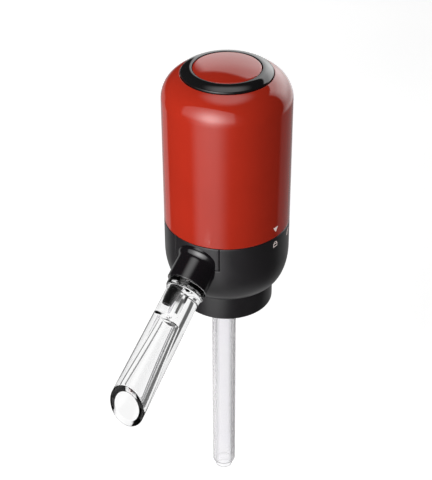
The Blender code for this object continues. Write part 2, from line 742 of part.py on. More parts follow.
def make_manifold():
    flange_r = COLLAR_BORE_R + MANIFOLD_LAND
    profile = [
        (0, MANIFOLD_TOP_Z),
        (flange_r, MANIFOLD_TOP_Z),
        (flange_r, MANIFOLD_FLANGE_Z),
        (COLLAR_BORE_R - GAP, MANIFOLD_FLANGE_Z),
        (COLLAR_BORE_R - GAP, MANIFOLD_Z),
        (0, MANIFOLD_Z),
    ]
    manifold = lathe("manifold", profile, CARRIER_GREY, 2 * INNER_STEPS)
    bore_r = TUBE_R + GAP
    boss = disc("boss", bore_r + TUBE_BOSS_WALL, MANIFOLD_Z + GAP, TUBE_BOSS_TOP_Z, None)
    nipple_top = MANIFOLD_TOP_Z + AIR_NIPPLE_H
    nipple = disc("nipple", NIPPLE_R, MANIFOLD_Z + GAP, nipple_top, None, SMALL_STEPS)
    join(manifold, move(boss, y=TUBE_Y), move(nipple, y=AIR_NIPPLE_Y))
    slot_low = (-AIR_HOLE_R, AIR_HOLE_Y - AIR_HOLE_R, MANIFOLD_Z - OVERRUN)
    slot_high = (AIR_HOLE_R, AIR_NIPPLE_Y + NIPPLE_BORE_R, MANIFOLD_Z + AIR_SLOT_H)
    return cut(
        manifold,
        hole(bore_r, MANIFOLD_Z - OVERRUN, TUBE_BOSS_TOP_Z - TUBE_SEAT, y=TUBE_Y, steps=INNER_STEPS),
        hole(DUCT_R + GAP, MANIFOLD_Z, TUBE_BOSS_TOP_Z + OVERRUN, y=TUBE_Y, steps=INNER_STEPS),
        box("slot", slot_low, slot_high, None, CUTTERS),
        hole(NIPPLE_BORE_R, MANIFOLD_Z + AIR_SLOT_H / 2, nipple_top + OVERRUN, y=AIR_NIPPLE_Y),
    )


# Drop tube
def make_drop_tube():
    outer = ring("drop_tube_outer", TUBE_BORE_R, TUBE_R, -TUBE_REACH, TUBE_TOP_Z, TUBE_WHITE)
    top = INNER_TUBE_END_Z + INNER_TUBE_LEN
    neck_r = INNER_TUBE_R - GLIDE_NECK
    profile = [
        (neck_r, top),
        (neck_r, top - GLIDE_H - 2 * GAP),
        (INNER_TUBE_R, top - GLIDE_H - 2 * GAP),
        (INNER_TUBE_R, INNER_TUBE_END_Z),
        (INNER_BORE_R, INNER_TUBE_END_Z),
        (INNER_BORE_R, top),
    ]
    inner = lathe("drop_tube_inner", profile, TUBE_WHITE)
    glide_low = top - GLIDE_H - GAP
    glide_top = glide_low + GLIDE_H
    glide_r = INNER_TUBE_R + SLACK / 4
    glide = ring("tube_glide_ring", neck_r + GAP / 2, glide_r, glide_low, glide_top, SILICONE)
    for obj in (outer, inner, glide):
        move(obj, y=TUBE_Y)


# Wine duct
def duct_route():
    """Up from the manifold, over a bend, and down the spout's axis."""
    fall = tan(SPOUT_FALL)
    sweep = pi - (pi / 2 - SPOUT_FALL)
    leave_y = -DUCT_BEND_R * (1 - cos(sweep))
    end = TUBE_Y + leave_y
    centre_z = SPOUT_APEX_Z + fall * end - DUCT_BEND_R * sin(sweep)
    low = TUBE_BOSS_TOP_Z - TUBE_SEAT + GAP
    points = [Vector((0, TUBE_Y, low))]
    for i in range(2 * BEND_POINTS + 1):
        angle = sweep * i / (2 * BEND_POINTS)
        over = TUBE_Y - DUCT_BEND_R * (1 - cos(angle))
        points.append(Vector((0, over, centre_z + DUCT_BEND_R * sin(angle))))
    points.append(spout_point(DUCT_END))
    return points


def make_wine_duct():
    route = duct_route()
    duct = rod("wine_duct", route, DUCT_R, CARRIER_GREY, DUCT_SIDES)
    first = route[0] + (route[0] - route[1]).normalized() * OVERRUN
    last = route[-1] + SPOUT_DIRECTION * OVERRUN
    bore = rod("bore", [first, *route[1:-1], last], DUCT_BORE_R, None, DUCT_SIDES, CUTTERS)
    return cut(duct, bore)


# Spout mount, nozzle and spout
def make_spout_mount():
    low_z = RIM_Z - PANEL_H
    mount = ring("spout_mount", PANEL_INNER_R, BODY_R, low_z, RIM_Z, BLACK, BODY_STEPS)
    front = box(
        "front",
        (-PANEL_HALF_W, -BODY_R - OVERRUN, low_z - OVERRUN),
        (PANEL_HALF_W, 0, RIM_Z + OVERRUN),
        None,
    )
    combine(mount, front, "INTERSECT")
    centre_r = KNUCKLE_R - KNUCKLE_ROUND
    centre_z = KNUCKLE_END - KNUCKLE_ROUND
    edge = arc(centre_r, centre_z, KNUCKLE_ROUND, KNUCKLE_ROUND, pi / 2, 0, 5)
    profile = [(0, KNUCKLE_END), *edge, (KNUCKLE_R, KNUCKLE_START), (0, KNUCKLE_START)]
    knuckle = spout_lathe("knuckle", profile, None, 2 * INNER_STEPS)
    above = BODY_R + KNUCKLE_R
    lid = box("lid", (-above, -2 * BODY_R, RIM_Z), (above, 0, RIM_Z + KNUCKLE_R), None, CUTTERS)
    cut(knuckle, lid)
    floor = SOCKET_BACK - SOCKET_FLOOR
    behind = KNUCKLE_START - OVERRUN
    ahead = SOCKET_END + OVERRUN
    socket = along_spout(disc("socket", SOCKET_R, floor, SOCKET_END, None, 2 * INNER_STEPS))
    join(mount, knuckle, socket)
    bore = disc("bore", SOCKET_BORE_R, SOCKET_BACK, ahead, None, 2 * INNER_STEPS, CUTTERS)
    back = move(hole(NOZZLE_HOLE_R, behind, ahead, steps=INNER_STEPS), x=-NOZZLE_SIDE)
    flange = hole(NOZZLE_FLANGE_R + GAP, behind, floor, steps=INNER_STEPS)
    return cut(mount, along_spout(bore), along_spout(back), along_spout(flange))


def make_nozzle():
    seat = NOZZLE_SEAT
    flange_low = seat - NOZZLE_FLANGE_T
    cup_in_r = DUCT_R + GAP
    well_end = NOZZLE_CUP_END + NOZZLE_WELL
    profile = [
        (0, seat),
        (NOZZLE_FLANGE_R, seat),
        (NOZZLE_FLANGE_R, flange_low),
        (NOZZLE_CUP_R, flange_low),
        (NOZZLE_CUP_R, NOZZLE_CUP_START),
        (cup_in_r, NOZZLE_CUP_START),
        (cup_in_r, NOZZLE_CUP_END),
        (NOZZLE_WELL_R, NOZZLE_CUP_END),
        (NOZZLE_WELL_R, well_end),
        (0, well_end),
    ]
    nozzle = spout_lathe("nozzle", profile, BLACK)
    profile = [
        (0, seat + NOZZLE_REACH),
        (NOZZLE_TIP_R, seat + NOZZLE_REACH),
        (NOZZLE_NECK_R, seat + NOZZLE_TIP),
        (NOZZLE_NECK_R, seat + NOZZLE_STEP + GAP),
        (NOZZLE_R, seat + NOZZLE_STEP - GAP),
        (NOZZLE_R, flange_low + NOZZLE_FLANGE_T / 2),
        (0, flange_low + NOZZLE_FLANGE_T / 2),
    ]
    tube = spout_lathe("tube", profile, None)
    bore = hole(NOZZLE_BORE_R, well_end - NOZZLE_WELL / 2, seat + NOZZLE_REACH + OVERRUN)
    join(nozzle, move(tube, x=-NOZZLE_SIDE))
    return cut(nozzle, along_spout(move(bore, x=-NOZZLE_SIDE)))


def nozzle_socket():
    """The round-ended hollow that the nozzle reaches into, and the hole that it passes."""
    centre_r = SPOUT_SOCKET_R - SPOUT_SOCKET_ROUND
    centre_z = SPOUT_SOCKET_END - SPOUT_SOCKET_ROUND
    start = FLANGE_START + SPOUT_FLANGE_T / 2
    behind = SPIGOT_START - OVERRUN
    profile = [
        (0, SPOUT_SOCKET_END),
        *arc(centre_r, centre_z, SPOUT_SOCKET_ROUND, SPOUT_SOCKET_ROUND, pi / 2, 0),
        (SPOUT_SOCKET_R, start),
        (NOZZLE_HOLE_R, start - GAP),
        (NOZZLE_HOLE_R, behind),
        (0, behind),
    ]
    return move(spout_lathe("nozzle_socket", profile, None, group=CUTTERS), x=-NOZZLE_SIDE)


def make_aerator_spout():
    over = SPOUT_END + 2 * SPOUT_TIP_R
    length = SPOUT_END - FLANGE_END
    over_share = (over - FLANGE_END) / length
    over_r = SPOUT_NECK_R + (SPOUT_TIP_R - SPOUT_NECK_R) * over_share
    over_bore = SPOUT_BORE_R + (SPOUT_MOUTH_R - SPOUT_BORE_R) * over_share
    ring_z = FLANGE_START - ORING_BACK
    groove = ORING_R + GAP
    profile = [
        (0, over),
        (over_r, over),
        (SPOUT_NECK_R, FLANGE_END + GAP),
        (SPOUT_FLANGE_R - GAP, FLANGE_END),
        (SPOUT_FLANGE_R, FLANGE_END - GAP),
        (SPOUT_FLANGE_R, FLANGE_START),
        (SPIGOT_R, FLANGE_START),
        (SPIGOT_R, ring_z + groove),
        (SPIGOT_R - ORING_SINK, ring_z + groove),
        (SPIGOT_R - ORING_SINK, ring_z - groove),
        (SPIGOT_R, ring_z - groove),
        (SPIGOT_R, SPIGOT_START),
        (0, SPIGOT_START),
    ]
    spout = spout_lathe("aerator_spout", profile, CLEAR, SPOUT_STEPS)
    profile = [
        (0, over + OVERRUN),
        (over_bore, over + OVERRUN),
        (SPOUT_BORE_R, FLANGE_END + SPOUT_BORE_EASE),
        (SPOUT_BORE_R - SPOUT_BORE_EASE, FLANGE_END),
        (0, FLANGE_END),
    ]
    bore = spout_lathe("spout_bore", profile, None, SPOUT_STEPS - 4, CUTTERS)
    reach = 4 * SPOUT_TIP_R
    slab = box("tip_cut", (-reach, -2 * reach, -2 * reach), (reach, 0, 2 * reach), None, CUTTERS)
    slab.location = spout_point(SPOUT_END)
    slab.rotation_euler = (-SPOUT_TIP_TILT, 0, 0)
    cut(spout, bore, nozzle_socket(), slab)
    torus = arc(SPIGOT_R - ORING_SINK + GAP + ORING_R, ring_z, ORING_R, ORING_R, 2 * pi, 0, 9)[:-1]
    limit = SOCKET_BORE_R - GAP / 2
    spout_lathe("spout_oring", [(min(radius, limit), height) for radius, height in torus], SILICONE)


# Battery carrier
def make_battery_carrier():
    low = DECK_TOP_Z - DECK_T
    profile = [
        (SLEEVE_R, SLEEVE_TOP_Z),
        (SLEEVE_R, DECK_TOP_Z),
        (DECK_R, DECK_TOP_Z),
        (DECK_R, low),
        (DECK_HOLE_R, low),
        (DECK_HOLE_R, DECK_TOP_Z),
        (SLEEVE_R - SLEEVE_WALL, DECK_TOP_Z),
        (SLEEVE_R - SLEEVE_WALL, SLEEVE_TOP_Z),
    ]
    carrier = lathe("battery_carrier", profile, CARRIER_GREY, 2 * INNER_STEPS)
    for angle in thirds(pi / 2):
        boss = disc("boss", BOSS_R, SLEEVE_TOP_Z - BOSS_DEPTH, SLEEVE_TOP_Z, None, SMALL_STEPS)
        join(carrier, at_angle(boss, BOSS_RING_R, angle))
    inside = hole(SLEEVE_R - SLEEVE_WALL, DECK_TOP_Z, SLEEVE_TOP_Z + OVERRUN, steps=2 * INNER_STEPS)
    cut(carrier, inside)
    for angle in thirds(pi / 2):
        top_hole = hole(SCREW_R + GAP, SLEEVE_TOP_Z - SCREW_LEN, SLEEVE_TOP_Z + OVERRUN)
        deck_hole = hole(SCREW_R + GAP, low - OVERRUN, DECK_TOP_Z + OVERRUN)
        cut(carrier, at_angle(top_hole, BOSS_RING_R, angle), at_angle(deck_hole, POST_RING_R, angle))
    return carrier


def make_top_plate():
    plate = ring("top_plate", MOTOR_R + SLACK, DECK_R, PLATE_Z, PLATE_TOP_Z, CARRIER_GREY, 2 * INNER_STEPS)
    for angle in thirds(pi / 6):
        peg = disc("peg", BOARD_PEG_R, PLATE_Z + PLATE_T / 2, PLATE_TOP_Z + BOARD_LIFT, None, SMALL_STEPS)
        join(plate, at_angle(peg, BOARD_PEG_RING_R, angle))
    for angle in thirds(pi / 2):
        screw_hole = hole(SCREW_R + GAP, PLATE_Z - OVERRUN, PLATE_TOP_Z + OVERRUN)
        cut(plate, at_angle(screw_hole, BOSS_RING_R, angle))
    for angle in lead_angles():
        lead_hole = hole(LEAD_R + SLACK, PLATE_Z - OVERRUN, PLATE_TOP_Z + OVERRUN)
        cut(plate, at_angle(lead_hole, CELL_RING_R, angle))
    return plate


def lead_angles():
    return [0, 2 * pi / CELL_COUNT]


def make_cells():
    """Neighbours stand the other way up, so that the contacts join them in a row."""
    top = CELL_H - CELL_NUB_H
    profile = [
        (0, CELL_H),
        (CELL_NUB_R, CELL_H),
        (CELL_NUB_R, top),
        (CELL_R, top),
        (CELL_R, 0),
        (0, 0),
    ]
    for i in range(CELL_COUNT):
        cell = lathe(f"battery_{i + 1}", profile, CELL_GREEN, CELL_STEPS)
        if i % 2:
            cell.data.transform(Matrix.Translation((0, 0, CELL_H)) @ Matrix.Rotation(pi, 4, "X"))
        move(cell, x=CELL_RING_R, z=CELL_Z, turn=2 * pi * i / CELL_COUNT)


def make_contacts():
    step = 2 * pi / CELL_COUNT
    middle_r = CELL_RING_R * cos(step / 2)
    half = CELL_RING_R * sin(step / 2) + CONTACT_W / 2
    low_z = DECK_TOP_Z + GAP
    for i in range(3):
        bar = box(
            f"lower_contact_{i + 1}",
            (middle_r - CONTACT_W / 2, -half, low_z),
            (middle_r + CONTACT_W / 2, half, low_z + CONTACT_T),
            BRASS,
        )
        move(bar, turn=step * (2 * i + 1.5))
    for i in range(2):
        bar = box(
            f"upper_contact_{i + 1}",
            (middle_r - CONTACT_W / 2, -half, CONTACT_TOP_Z),
            (middle_r + CONTACT_W / 2, half, CONTACT_TOP_Z + CONTACT_T),
            BRASS,
        )
        move(bar, turn=step * (2 * i + 2.5))
    for name, angle in zip(("terminal_plus", "terminal_minus"), lead_angles()):
        tab = disc(name, CONTACT_W / 2, CONTACT_TOP_Z, CONTACT_TOP_Z + CONTACT_T, BRASS, SMALL_STEPS)
        at_angle(tab, CELL_RING_R, angle)


def make_screw(name, radius, angle, head_z):
    profile = [
        (0, head_z + SCREW_HEAD_H / 3),
        (SCREW_R, head_z + SCREW_HEAD_H),
        (SCREW_HEAD_R - GAP, head_z + SCREW_HEAD_H),
        (SCREW_HEAD_R, head_z + SCREW_HEAD_H / 2),
        (SCREW_HEAD_R, head_z),
        (SCREW_R, head_z),
        (SCREW_R, head_z - SCREW_LEN),
        (0, head_z - SCREW_LEN),
    ]
    at_angle(lathe(name, profile, STEEL, SMALL_STEPS), radius, angle)


def make_screws():
    for i, angle in enumerate(thirds(pi / 2), 1):
        make_screw(f"carrier_screw_{i}", POST_RING_R, angle, DECK_TOP_Z + GAP)
        make_screw(f"plate_screw_{i}", BOSS_RING_R, angle, PLATE_TOP_Z + GAP)


# Air pump
def make_pump_cover():
    cover = disc("pump_cover", PUMP_R, PUMP_COVER_Z, PUMP_COVER_Z + PUMP_COVER_T, CARRIER_GREY)
    low = PUMP_COVER_Z - PUMP_NIPPLE_H
    nipple = disc("nipple", NIPPLE_R, low, PUMP_COVER_Z + PUMP_COVER_T / 2, None, SMALL_STEPS)
    join(cover, move(nipple, y=PUMP_NIPPLE_Y))
    top = PUMP_COVER_Z + PUMP_COVER_T + OVERRUN
    return cut(cover, hole(NIPPLE_BORE_R, low - OVERRUN, top, y=PUMP_NIPPLE_Y))


def make_valve_plate():
    plate = disc("valve_plate", PUMP_R, VALVE_PLATE_Z, VALVE_PLATE_Z + VALVE_PLATE_T, CARRIER_GREY)
    for angle in thirds(pi / 6):
        port = hole(AIR_HOLE_R, VALVE_PLATE_Z - OVERRUN, VALVE_PLATE_Z + VALVE_PLATE_T + OVERRUN)
        cut(plate, at_angle(port, CUP_RING_R, angle))
    return plate


def make_diaphragm():
    skin = disc("diaphragm", PUMP_R, DIAPHRAGM_Z, DIAPHRAGM_Z + DIAPHRAGM_T, SILICONE)
    for angle in thirds(pi / 6):
        cup = disc("cup", CUP_R, DIAPHRAGM_Z + DIAPHRAGM_T / 2, CUP_TOP_Z, None, SMALL_STEPS)
        join(skin, at_angle(cup, CUP_RING_R, angle))
        chamber = hole(CUP_R - CUP_WALL, DIAPHRAGM_Z - OVERRUN, CUP_TOP_Z - CUP_WALL)
        cut(skin, at_angle(chamber, CUP_RING_R, angle))
    return skin


def make_pump_frame():
    inner = PUMP_R - PUMP_FRAME_WALL
    roof = PUMP_FRAME_TOP_Z - PUMP_FRAME_WALL
    hole_r = MOTOR_BOSS_R + GAP
    profile = [
        (PUMP_R, PUMP_FRAME_TOP_Z),
        (PUMP_R, PUMP_FRAME_Z),
        (inner, PUMP_FRAME_Z),
        (inner, roof),
        (hole_r, roof),
        (hole_r, PUMP_FRAME_TOP_Z),
    ]
    return lathe("pump_frame", profile, CARRIER_GREY)


def make_pump_motor():
    bore_r = SHAFT_R + GAP
    can_top = MOTOR_TOP_Z - MOTOR_CAP_H
    profile = [
        (0, MOTOR_TOP_Z),
        (MOTOR_CAP_R, MOTOR_TOP_Z),
        (MOTOR_CAP_R, can_top),
        (MOTOR_R, can_top),
        (MOTOR_R, MOTOR_Z),
        (MOTOR_BOSS_R, MOTOR_Z),
        (MOTOR_BOSS_R, MOTOR_BOSS_Z),
        (bore_r, MOTOR_BOSS_Z),
        (bore_r, MOTOR_Z + SHAFT_IN + GAP),
        (0, MOTOR_Z + SHAFT_IN + GAP),
    ]
    lathe("pump_motor", profile, STEEL)
    disc("motor_shaft", SHAFT_R, CAM_Z + GAP, MOTOR_Z + SHAFT_IN, STEEL, SMALL_STEPS)
    cam = ring("eccentric_cam", SHAFT_R + GAP, CAM_R, CAM_Z, CAM_TOP_Z, BRASS)
    crank = disc("crank", CRANK_R, DRIVE_PLATE_Z, CAM_Z + CAM_T / 2, None, SMALL_STEPS)
    join(cam, move(crank, x=CRANK_OFFSET))
    plate_top = DRIVE_PLATE_Z + DRIVE_PLATE_T
    ring("drive_plate", CRANK_HOLE_R, DRIVE_PLATE_R, DRIVE_PLATE_Z, plate_top, CARRIER_GREY)


def make_air_hose():
    radius = NIPPLE_R + GAP + HOSE_WALL
    top = PUMP_COVER_Z - PUMP_NIPPLE_H + HOSE_OVERLAP
    low = MANIFOLD_TOP_Z + AIR_NIPPLE_H - HOSE_OVERLAP
    start, end = (0, AIR_NIPPLE_Y, low), (0, PUMP_NIPPLE_Y, top)
    straight = HOSE_OVERLAP + HOSE_WALL
    hose = rod("air_hose", stepped_route(start, end, straight, straight), radius, SILICONE)
    start, end = (0, AIR_NIPPLE_Y, low - OVERRUN), (0, PUMP_NIPPLE_Y, top + OVERRUN)
    inside = stepped_route(start, end, straight + OVERRUN, straight + OVERRUN)
    return cut(hose, rod("bore", inside, NIPPLE_R + GAP, None, 2, CUTTERS))


# Switch
def make_switch():
    disc("switch_board", BOARD_R, BOARD_Z, BOARD_Z + BOARD_T, BOARD_GREEN)
    half = SWITCH_W / 2
    body = box("switch_body", (-half, -half, SWITCH_Z), (half, half, SWITCH_TOP_Z), GLOSS_BLACK)
    cut(body, hole(PLUNGER_R + GAP, SWITCH_Z - OVERRUN, SWITCH_TOP_Z + OVERRUN))
    disc("switch_plunger", PLUNGER_R, PLUNGER_Z, PLUNGER_TOP_Z, TUBE_WHITE, SMALL_STEPS)


def make_leads():
    low = CONTACT_TOP_Z + CONTACT_T + GAP
    high = BOARD_Z - GAP
    edge = BOARD_R - 2 * LEAD_R
    for name, angle, finish in zip(("lead_plus", "lead_minus"), lead_angles(), (LEAD_RED, LEAD_BLACK)):
        route = stepped_route((CELL_RING_R, 0, low), (edge, 0, high), PLATE_T + LEAD_R + GAP, GAP)
        move(rod(name, route, LEAD_R, finish, sides=1), turn=angle)


def set_origin(name, point):
    """Puts the object's origin on its joint's axis, with its shape where it was."""
    obj = bpy.data.objects[name]
    point = Vector(point)
    obj.data.transform(Matrix.Translation(-point))
    obj.location = point


make_upper_shell()
make_top_bezel()
make_power_button()
make_button_clip()
make_button_spring()
make_base_housing()
make_bottle_collar()
make_bottle_seal()
make_manifold()
make_drop_tube()
make_wine_duct()
make_spout_mount()
make_nozzle()
make_aerator_spout()
make_battery_carrier()
make_top_plate()
make_cells()
make_contacts()
make_screws()
make_pump_cover()
make_valve_plate()
make_diaphragm()
make_pump_frame()
make_pump_motor()
make_air_hose()
make_switch()
make_leads()
for moving in ("drop_tube_inner", "tube_glide_ring"):
    set_origin(moving, (0, TUBE_Y, INNER_TUBE_END_Z))
bpy.data.collections.remove(CUTTERS)
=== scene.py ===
# %% [markdown]
# # Automatic wine dispenser
# This script dresses a dispenser that stands on the neck of a wine bottle. Its solids were made in
# CAD and come in as a fixed frame, already at their real size in metres. The script keeps the
# hidden pieces, and lays smooth new surfaces over the ones that show: a glossy red shell, a black
# ring and lower housing, a slanted clear spout with a black nozzle in it, and a whitish drop tube.
#
# +Z is up, the spout points towards -Y, and the origin is where the bottle's lip meets the seal.

# %% Load the frame
import json

from math import asin, cos, degrees, pi, radians, sin, sqrt

import bpy
import numpy as np
from mathutils import Matrix, Vector


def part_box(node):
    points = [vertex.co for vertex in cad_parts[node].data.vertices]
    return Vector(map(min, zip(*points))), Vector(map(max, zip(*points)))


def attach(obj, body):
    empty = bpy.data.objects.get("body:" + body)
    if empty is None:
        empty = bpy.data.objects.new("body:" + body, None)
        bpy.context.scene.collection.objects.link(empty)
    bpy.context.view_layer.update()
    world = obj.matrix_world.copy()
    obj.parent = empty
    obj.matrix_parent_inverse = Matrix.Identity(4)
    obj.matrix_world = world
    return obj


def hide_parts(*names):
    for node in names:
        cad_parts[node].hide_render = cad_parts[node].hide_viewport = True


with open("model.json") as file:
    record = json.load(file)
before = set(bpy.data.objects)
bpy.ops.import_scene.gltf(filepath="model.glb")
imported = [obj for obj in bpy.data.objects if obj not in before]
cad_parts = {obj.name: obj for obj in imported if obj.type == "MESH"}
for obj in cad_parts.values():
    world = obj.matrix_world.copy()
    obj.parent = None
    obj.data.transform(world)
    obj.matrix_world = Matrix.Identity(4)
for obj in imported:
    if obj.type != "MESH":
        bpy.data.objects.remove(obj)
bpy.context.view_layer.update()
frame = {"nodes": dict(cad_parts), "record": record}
print("nodes:", len(frame["nodes"]))

# %% [markdown]
# ## The camera
# The photograph was taken from the front right and from well above, with a lens long enough to keep
# the sides of the body nearly upright. A product shot like this is matched from a few circles: the
# seam, the ring and the collar are round on the real thing, so the ellipses they make in the
# picture give the angle and the distance. The camera comes first, because every later look is
# judged by it.

# %% Camera
turn_to_spout = radians(30)
look_down, yaw, roll = 0.597, -0.010, -0.004
forward = Vector((sin(yaw) * cos(look_down), cos(yaw) * cos(look_down), -sin(look_down)))
forward = Matrix.Rotation(turn_to_spout, 3, "Z") @ forward
level = forward.cross(Vector((0, 0, 1))).normalized()
upward = level.cross(forward)
right = level * cos(roll) + upward * sin(roll)
top = upward * cos(roll) - level * sin(roll)
place = Vector((0.2720, -0.4711, 0.3850))


def add_object(name, data):
    """A new object of this data, linked to the scene."""
    obj = bpy.data.objects.new(name, data)
    bpy.context.scene.collection.objects.link(obj)
    return obj


camera = add_object("camera", bpy.data.cameras.new("camera"))
bpy.context.scene.camera = camera
camera.matrix_world = Matrix((
    (right.x, top.x, -forward.x, place.x),
    (right.y, top.y, -forward.y, place.y),
    (right.z, top.z, -forward.z, place.z),
    (0, 0, 0, 1),
))
picture_height = 480
focal_pixels = 1313
camera.data.sensor_fit = "VERTICAL"
camera.data.sensor_height = 24
camera.data.lens = focal_pixels * camera.data.sensor_height / picture_height
print("lens:", round(camera.data.lens, 1), "mm, distance:", round(place.length, 3), "m")

# %% [markdown]
# ## Surfaces from numbers
# Nearly everything on this product was turned or moulded round an axis, so each visible piece is a
# grid of points worked out all at once with numpy: rows run along the outline and columns run round
# the axis. One function numbers the grid's quads, and another turns points and quads into a mesh.
# At a pole a whole row falls on one point, so equal points are merged and quads become triangles.

# %% Grid to mesh
mm = 0.001
merge_decimals = 8
sharp_angle = radians(30)


def make_mesh(name, points, quads, finish):
    """Mesh of the quads. Equal points are merged, and sides that collapse are dropped.

    The faces point outward when the signed volume, the sum of a . (b x c) / 6, is positive."""
    keys, inverse = np.unique(np.round(points, merge_decimals), axis=0, return_inverse=True)
    q = inverse.reshape(-1)[quads]
    same = q == np.roll(q, -1, axis=1)
    four = q[same.sum(1) == 0]
    part = q[same.sum(1) == 1]
    drop = same[same.sum(1) == 1].argmax(1)
    keep = (drop[:, None] + np.arange(1, 4)) % 4
    three = np.take_along_axis(part, keep, axis=1)
    fans = np.concatenate([four[:, :3], four[:, [0, 2, 3]], three])
    a, b, c = (keys[fans[:, i]] for i in range(3))
    if np.einsum("ij,ij->i", a, np.cross(b, c)).sum() < 0:
        four, three = four[:, ::-1], three[:, ::-1]
    mesh = bpy.data.meshes.new(name)
    mesh.from_pydata(keys.tolist(), [], four.tolist() + three.tolist())
    mesh.shade_smooth()
    mesh.set_sharp_from_angle(angle=sharp_angle)
    mesh.materials.append(finish)
    return add_object(name, mesh)


def grid_quads(rows, cols, wrap_rows, wrap_cols):
    """Corner numbers of the quads of a grid of points, row by row."""
    i, j = np.meshgrid(
        np.arange(rows - (not wrap_rows)), np.arange(cols - (not wrap_cols)), indexing="ij"
    )
    down, across = (i + 1) % rows, (j + 1) % cols
    return np.stack([i * cols + j, down * cols + j, down * cols + across, i * cols + across], -1)


print("points are merged to", 10**-merge_decimals, "m")

# %% [markdown]
# ## Outlines carried round an axis
# A turned piece is drawn as half of its section. One function rounds the corners of an outline, one
# gives a quarter of an ellipse for shoulders, and the third carries the outline round an axis. A
# sharp corner never catches light and a rounded one does, so even the smallest edges are rounded.

# %% Outlines
def rounded(corners, closed=False, count=6):
    """Outline of (radius, height, rounding) corners in mm, each corner P swapped for a parabola.

    The parabola (1-t)^2 A + 2t(1-t) P + t^2 B starts and ends at A and B, which lie on the two
    sides at the rounding's length from P."""
    spots = np.array([c[:2] for c in corners], float)
    size = np.array([c[2] for c in corners], float)[:, None]
    before, after = np.roll(spots, 1, axis=0) - spots, np.roll(spots, -1, axis=0) - spots
    if not closed:
        before[0], after[-1], size[0], size[-1] = (1, 0), (1, 0), 0, 0
    to_a = before / np.linalg.norm(before, axis=1, keepdims=True)
    to_b = after / np.linalg.norm(after, axis=1, keepdims=True)
    start, end = spots + to_a * size, spots + to_b * size
    t = np.linspace(0, 1, count)[None, :, None]
    bend = (1 - t) ** 2 * start[:, None] + 2 * t * (1 - t) * spots[:, None] + t**2 * end[:, None]
    return bend.reshape(-1, 2)


def quarter(centre, reach, rise, start, stop, count):
    """Points (r, z) = centre + (reach cos a, rise sin a) of an ellipse, in mm."""
    a = np.linspace(start, stop, count)
    return np.stack([centre[0] + reach * np.cos(a), centre[1] + rise * np.sin(a)], -1)


def turned(name, outline, finish, closed=True, steps=192, frame_of=None):
    """Outline of (radius, height) in mm carried round Z: (r cos a, r sin a, z)."""
    a = np.linspace(0, 2 * pi, steps, endpoint=False)
    r, z = outline[:, 0][:, None] * mm, outline[:, 1][:, None] * mm
    points = np.stack([r * np.cos(a), r * np.sin(a), z + 0 * a], -1).reshape(-1, 3)
    if frame_of is not None:
        points = frame_of(points)
    quads = grid_quads(len(outline), steps, closed, True).reshape(-1, 4)
    return make_mesh(name, points, quads, finish)


sample = rounded([(1, 0, 0), (1, 1, 0.4), (0, 1, 0)], count=5)
print("a corner at (1, 1), rounded by 0.4, passes through", sample[7].round(2))

# %% [markdown]
# ## Moulded plastics
# A moulded case is never one flat colour. Its pigment flows a little unevenly, its gloss has faint
# waves where the melt cooled, and a satin face carries the fine grain that was etched in the mould.
# One function makes all of these from three noises, read in the object's own coordinates so that
# they stay put when the piece moves.

# %% Nodes of a material
noise_low, noise_high = 0.3, 0.7


def nodes_of(name):
    """A new material, its node tree, its Principled shader and its object coordinates."""
    material = bpy.data.materials.new(name)
    material.use_nodes = True
    tree = material.node_tree
    where = tree.nodes.new("ShaderNodeTexCoord")
    return material, tree, tree.nodes["Principled BSDF"], where.outputs["Object"]


def set_inputs(node, values):
    """Sets the inputs of a node by their names."""
    for name, value in values.items():
        node.inputs[name].default_value = value


def noise(tree, where, scale, detail=2.0):
    """Noise of this many cycles a metre. Nearly all of it lies from noise_low to noise_high."""
    node = tree.nodes.new("ShaderNodeTexNoise")
    set_inputs(node, {"Scale": scale, "Detail": detail})
    tree.links.new(where, node.inputs["Vector"])
    return node.outputs["Fac"]


def between(tree, value, low, high, start=noise_low, stop=noise_high):
    """Map Range node that carries value from start..stop to low..high."""
    node = tree.nodes.new("ShaderNodeMapRange")
    for socket, number in zip(node.inputs[1:5], (start, stop, low, high)):
        socket.default_value = number
    tree.links.new(value, node.inputs["Value"])
    return node.outputs["Result"]


def mixed(tree, factor, first, second):
    """Colour between two RGB colours."""
    node = tree.nodes.new("ShaderNodeMix")
    node.data_type = "RGBA"
    tree.links.new(factor, node.inputs["Factor"])
    set_inputs(node, {"A": (*first, 1), "B": (*second, 1)})
    return node.outputs["Result"]


def tint(parts, scale, first, second):
    """Lets the colour drift between two colours with a noise."""
    _, tree, shader, where = parts
    drift = between(tree, noise(tree, where, scale), 0, 1)
    tree.links.new(mixed(tree, drift, first, second), shader.inputs["Base Color"])


def polish(parts, scale, low, high):
    """Lets the roughness drift between two values with a noise."""
    _, tree, shader, where = parts
    tree.links.new(between(tree, noise(tree, where, scale), low, high), shader.inputs["Roughness"])


print("noise from", noise_low, "to", noise_high, "is stretched to what a colour needs")

# %% [markdown]
# ## The case's colours
# The red is a gloss colour with very little scatter, so that it mirrors the studio. The blacks
# differ in gloss only: the ring is polished, the housing is satin, and the socket lies between.
# Specular IOR Level sets how strong the mirror is. The nozzle sits in clear plastic, which takes
# most of its shine away, so its level is low.

# %% Plastic materials
flow_scale, gloss_scale, grain_scale = 45, 160, 2600
grain_detail, grain_depth = 3, 0.02 * mm


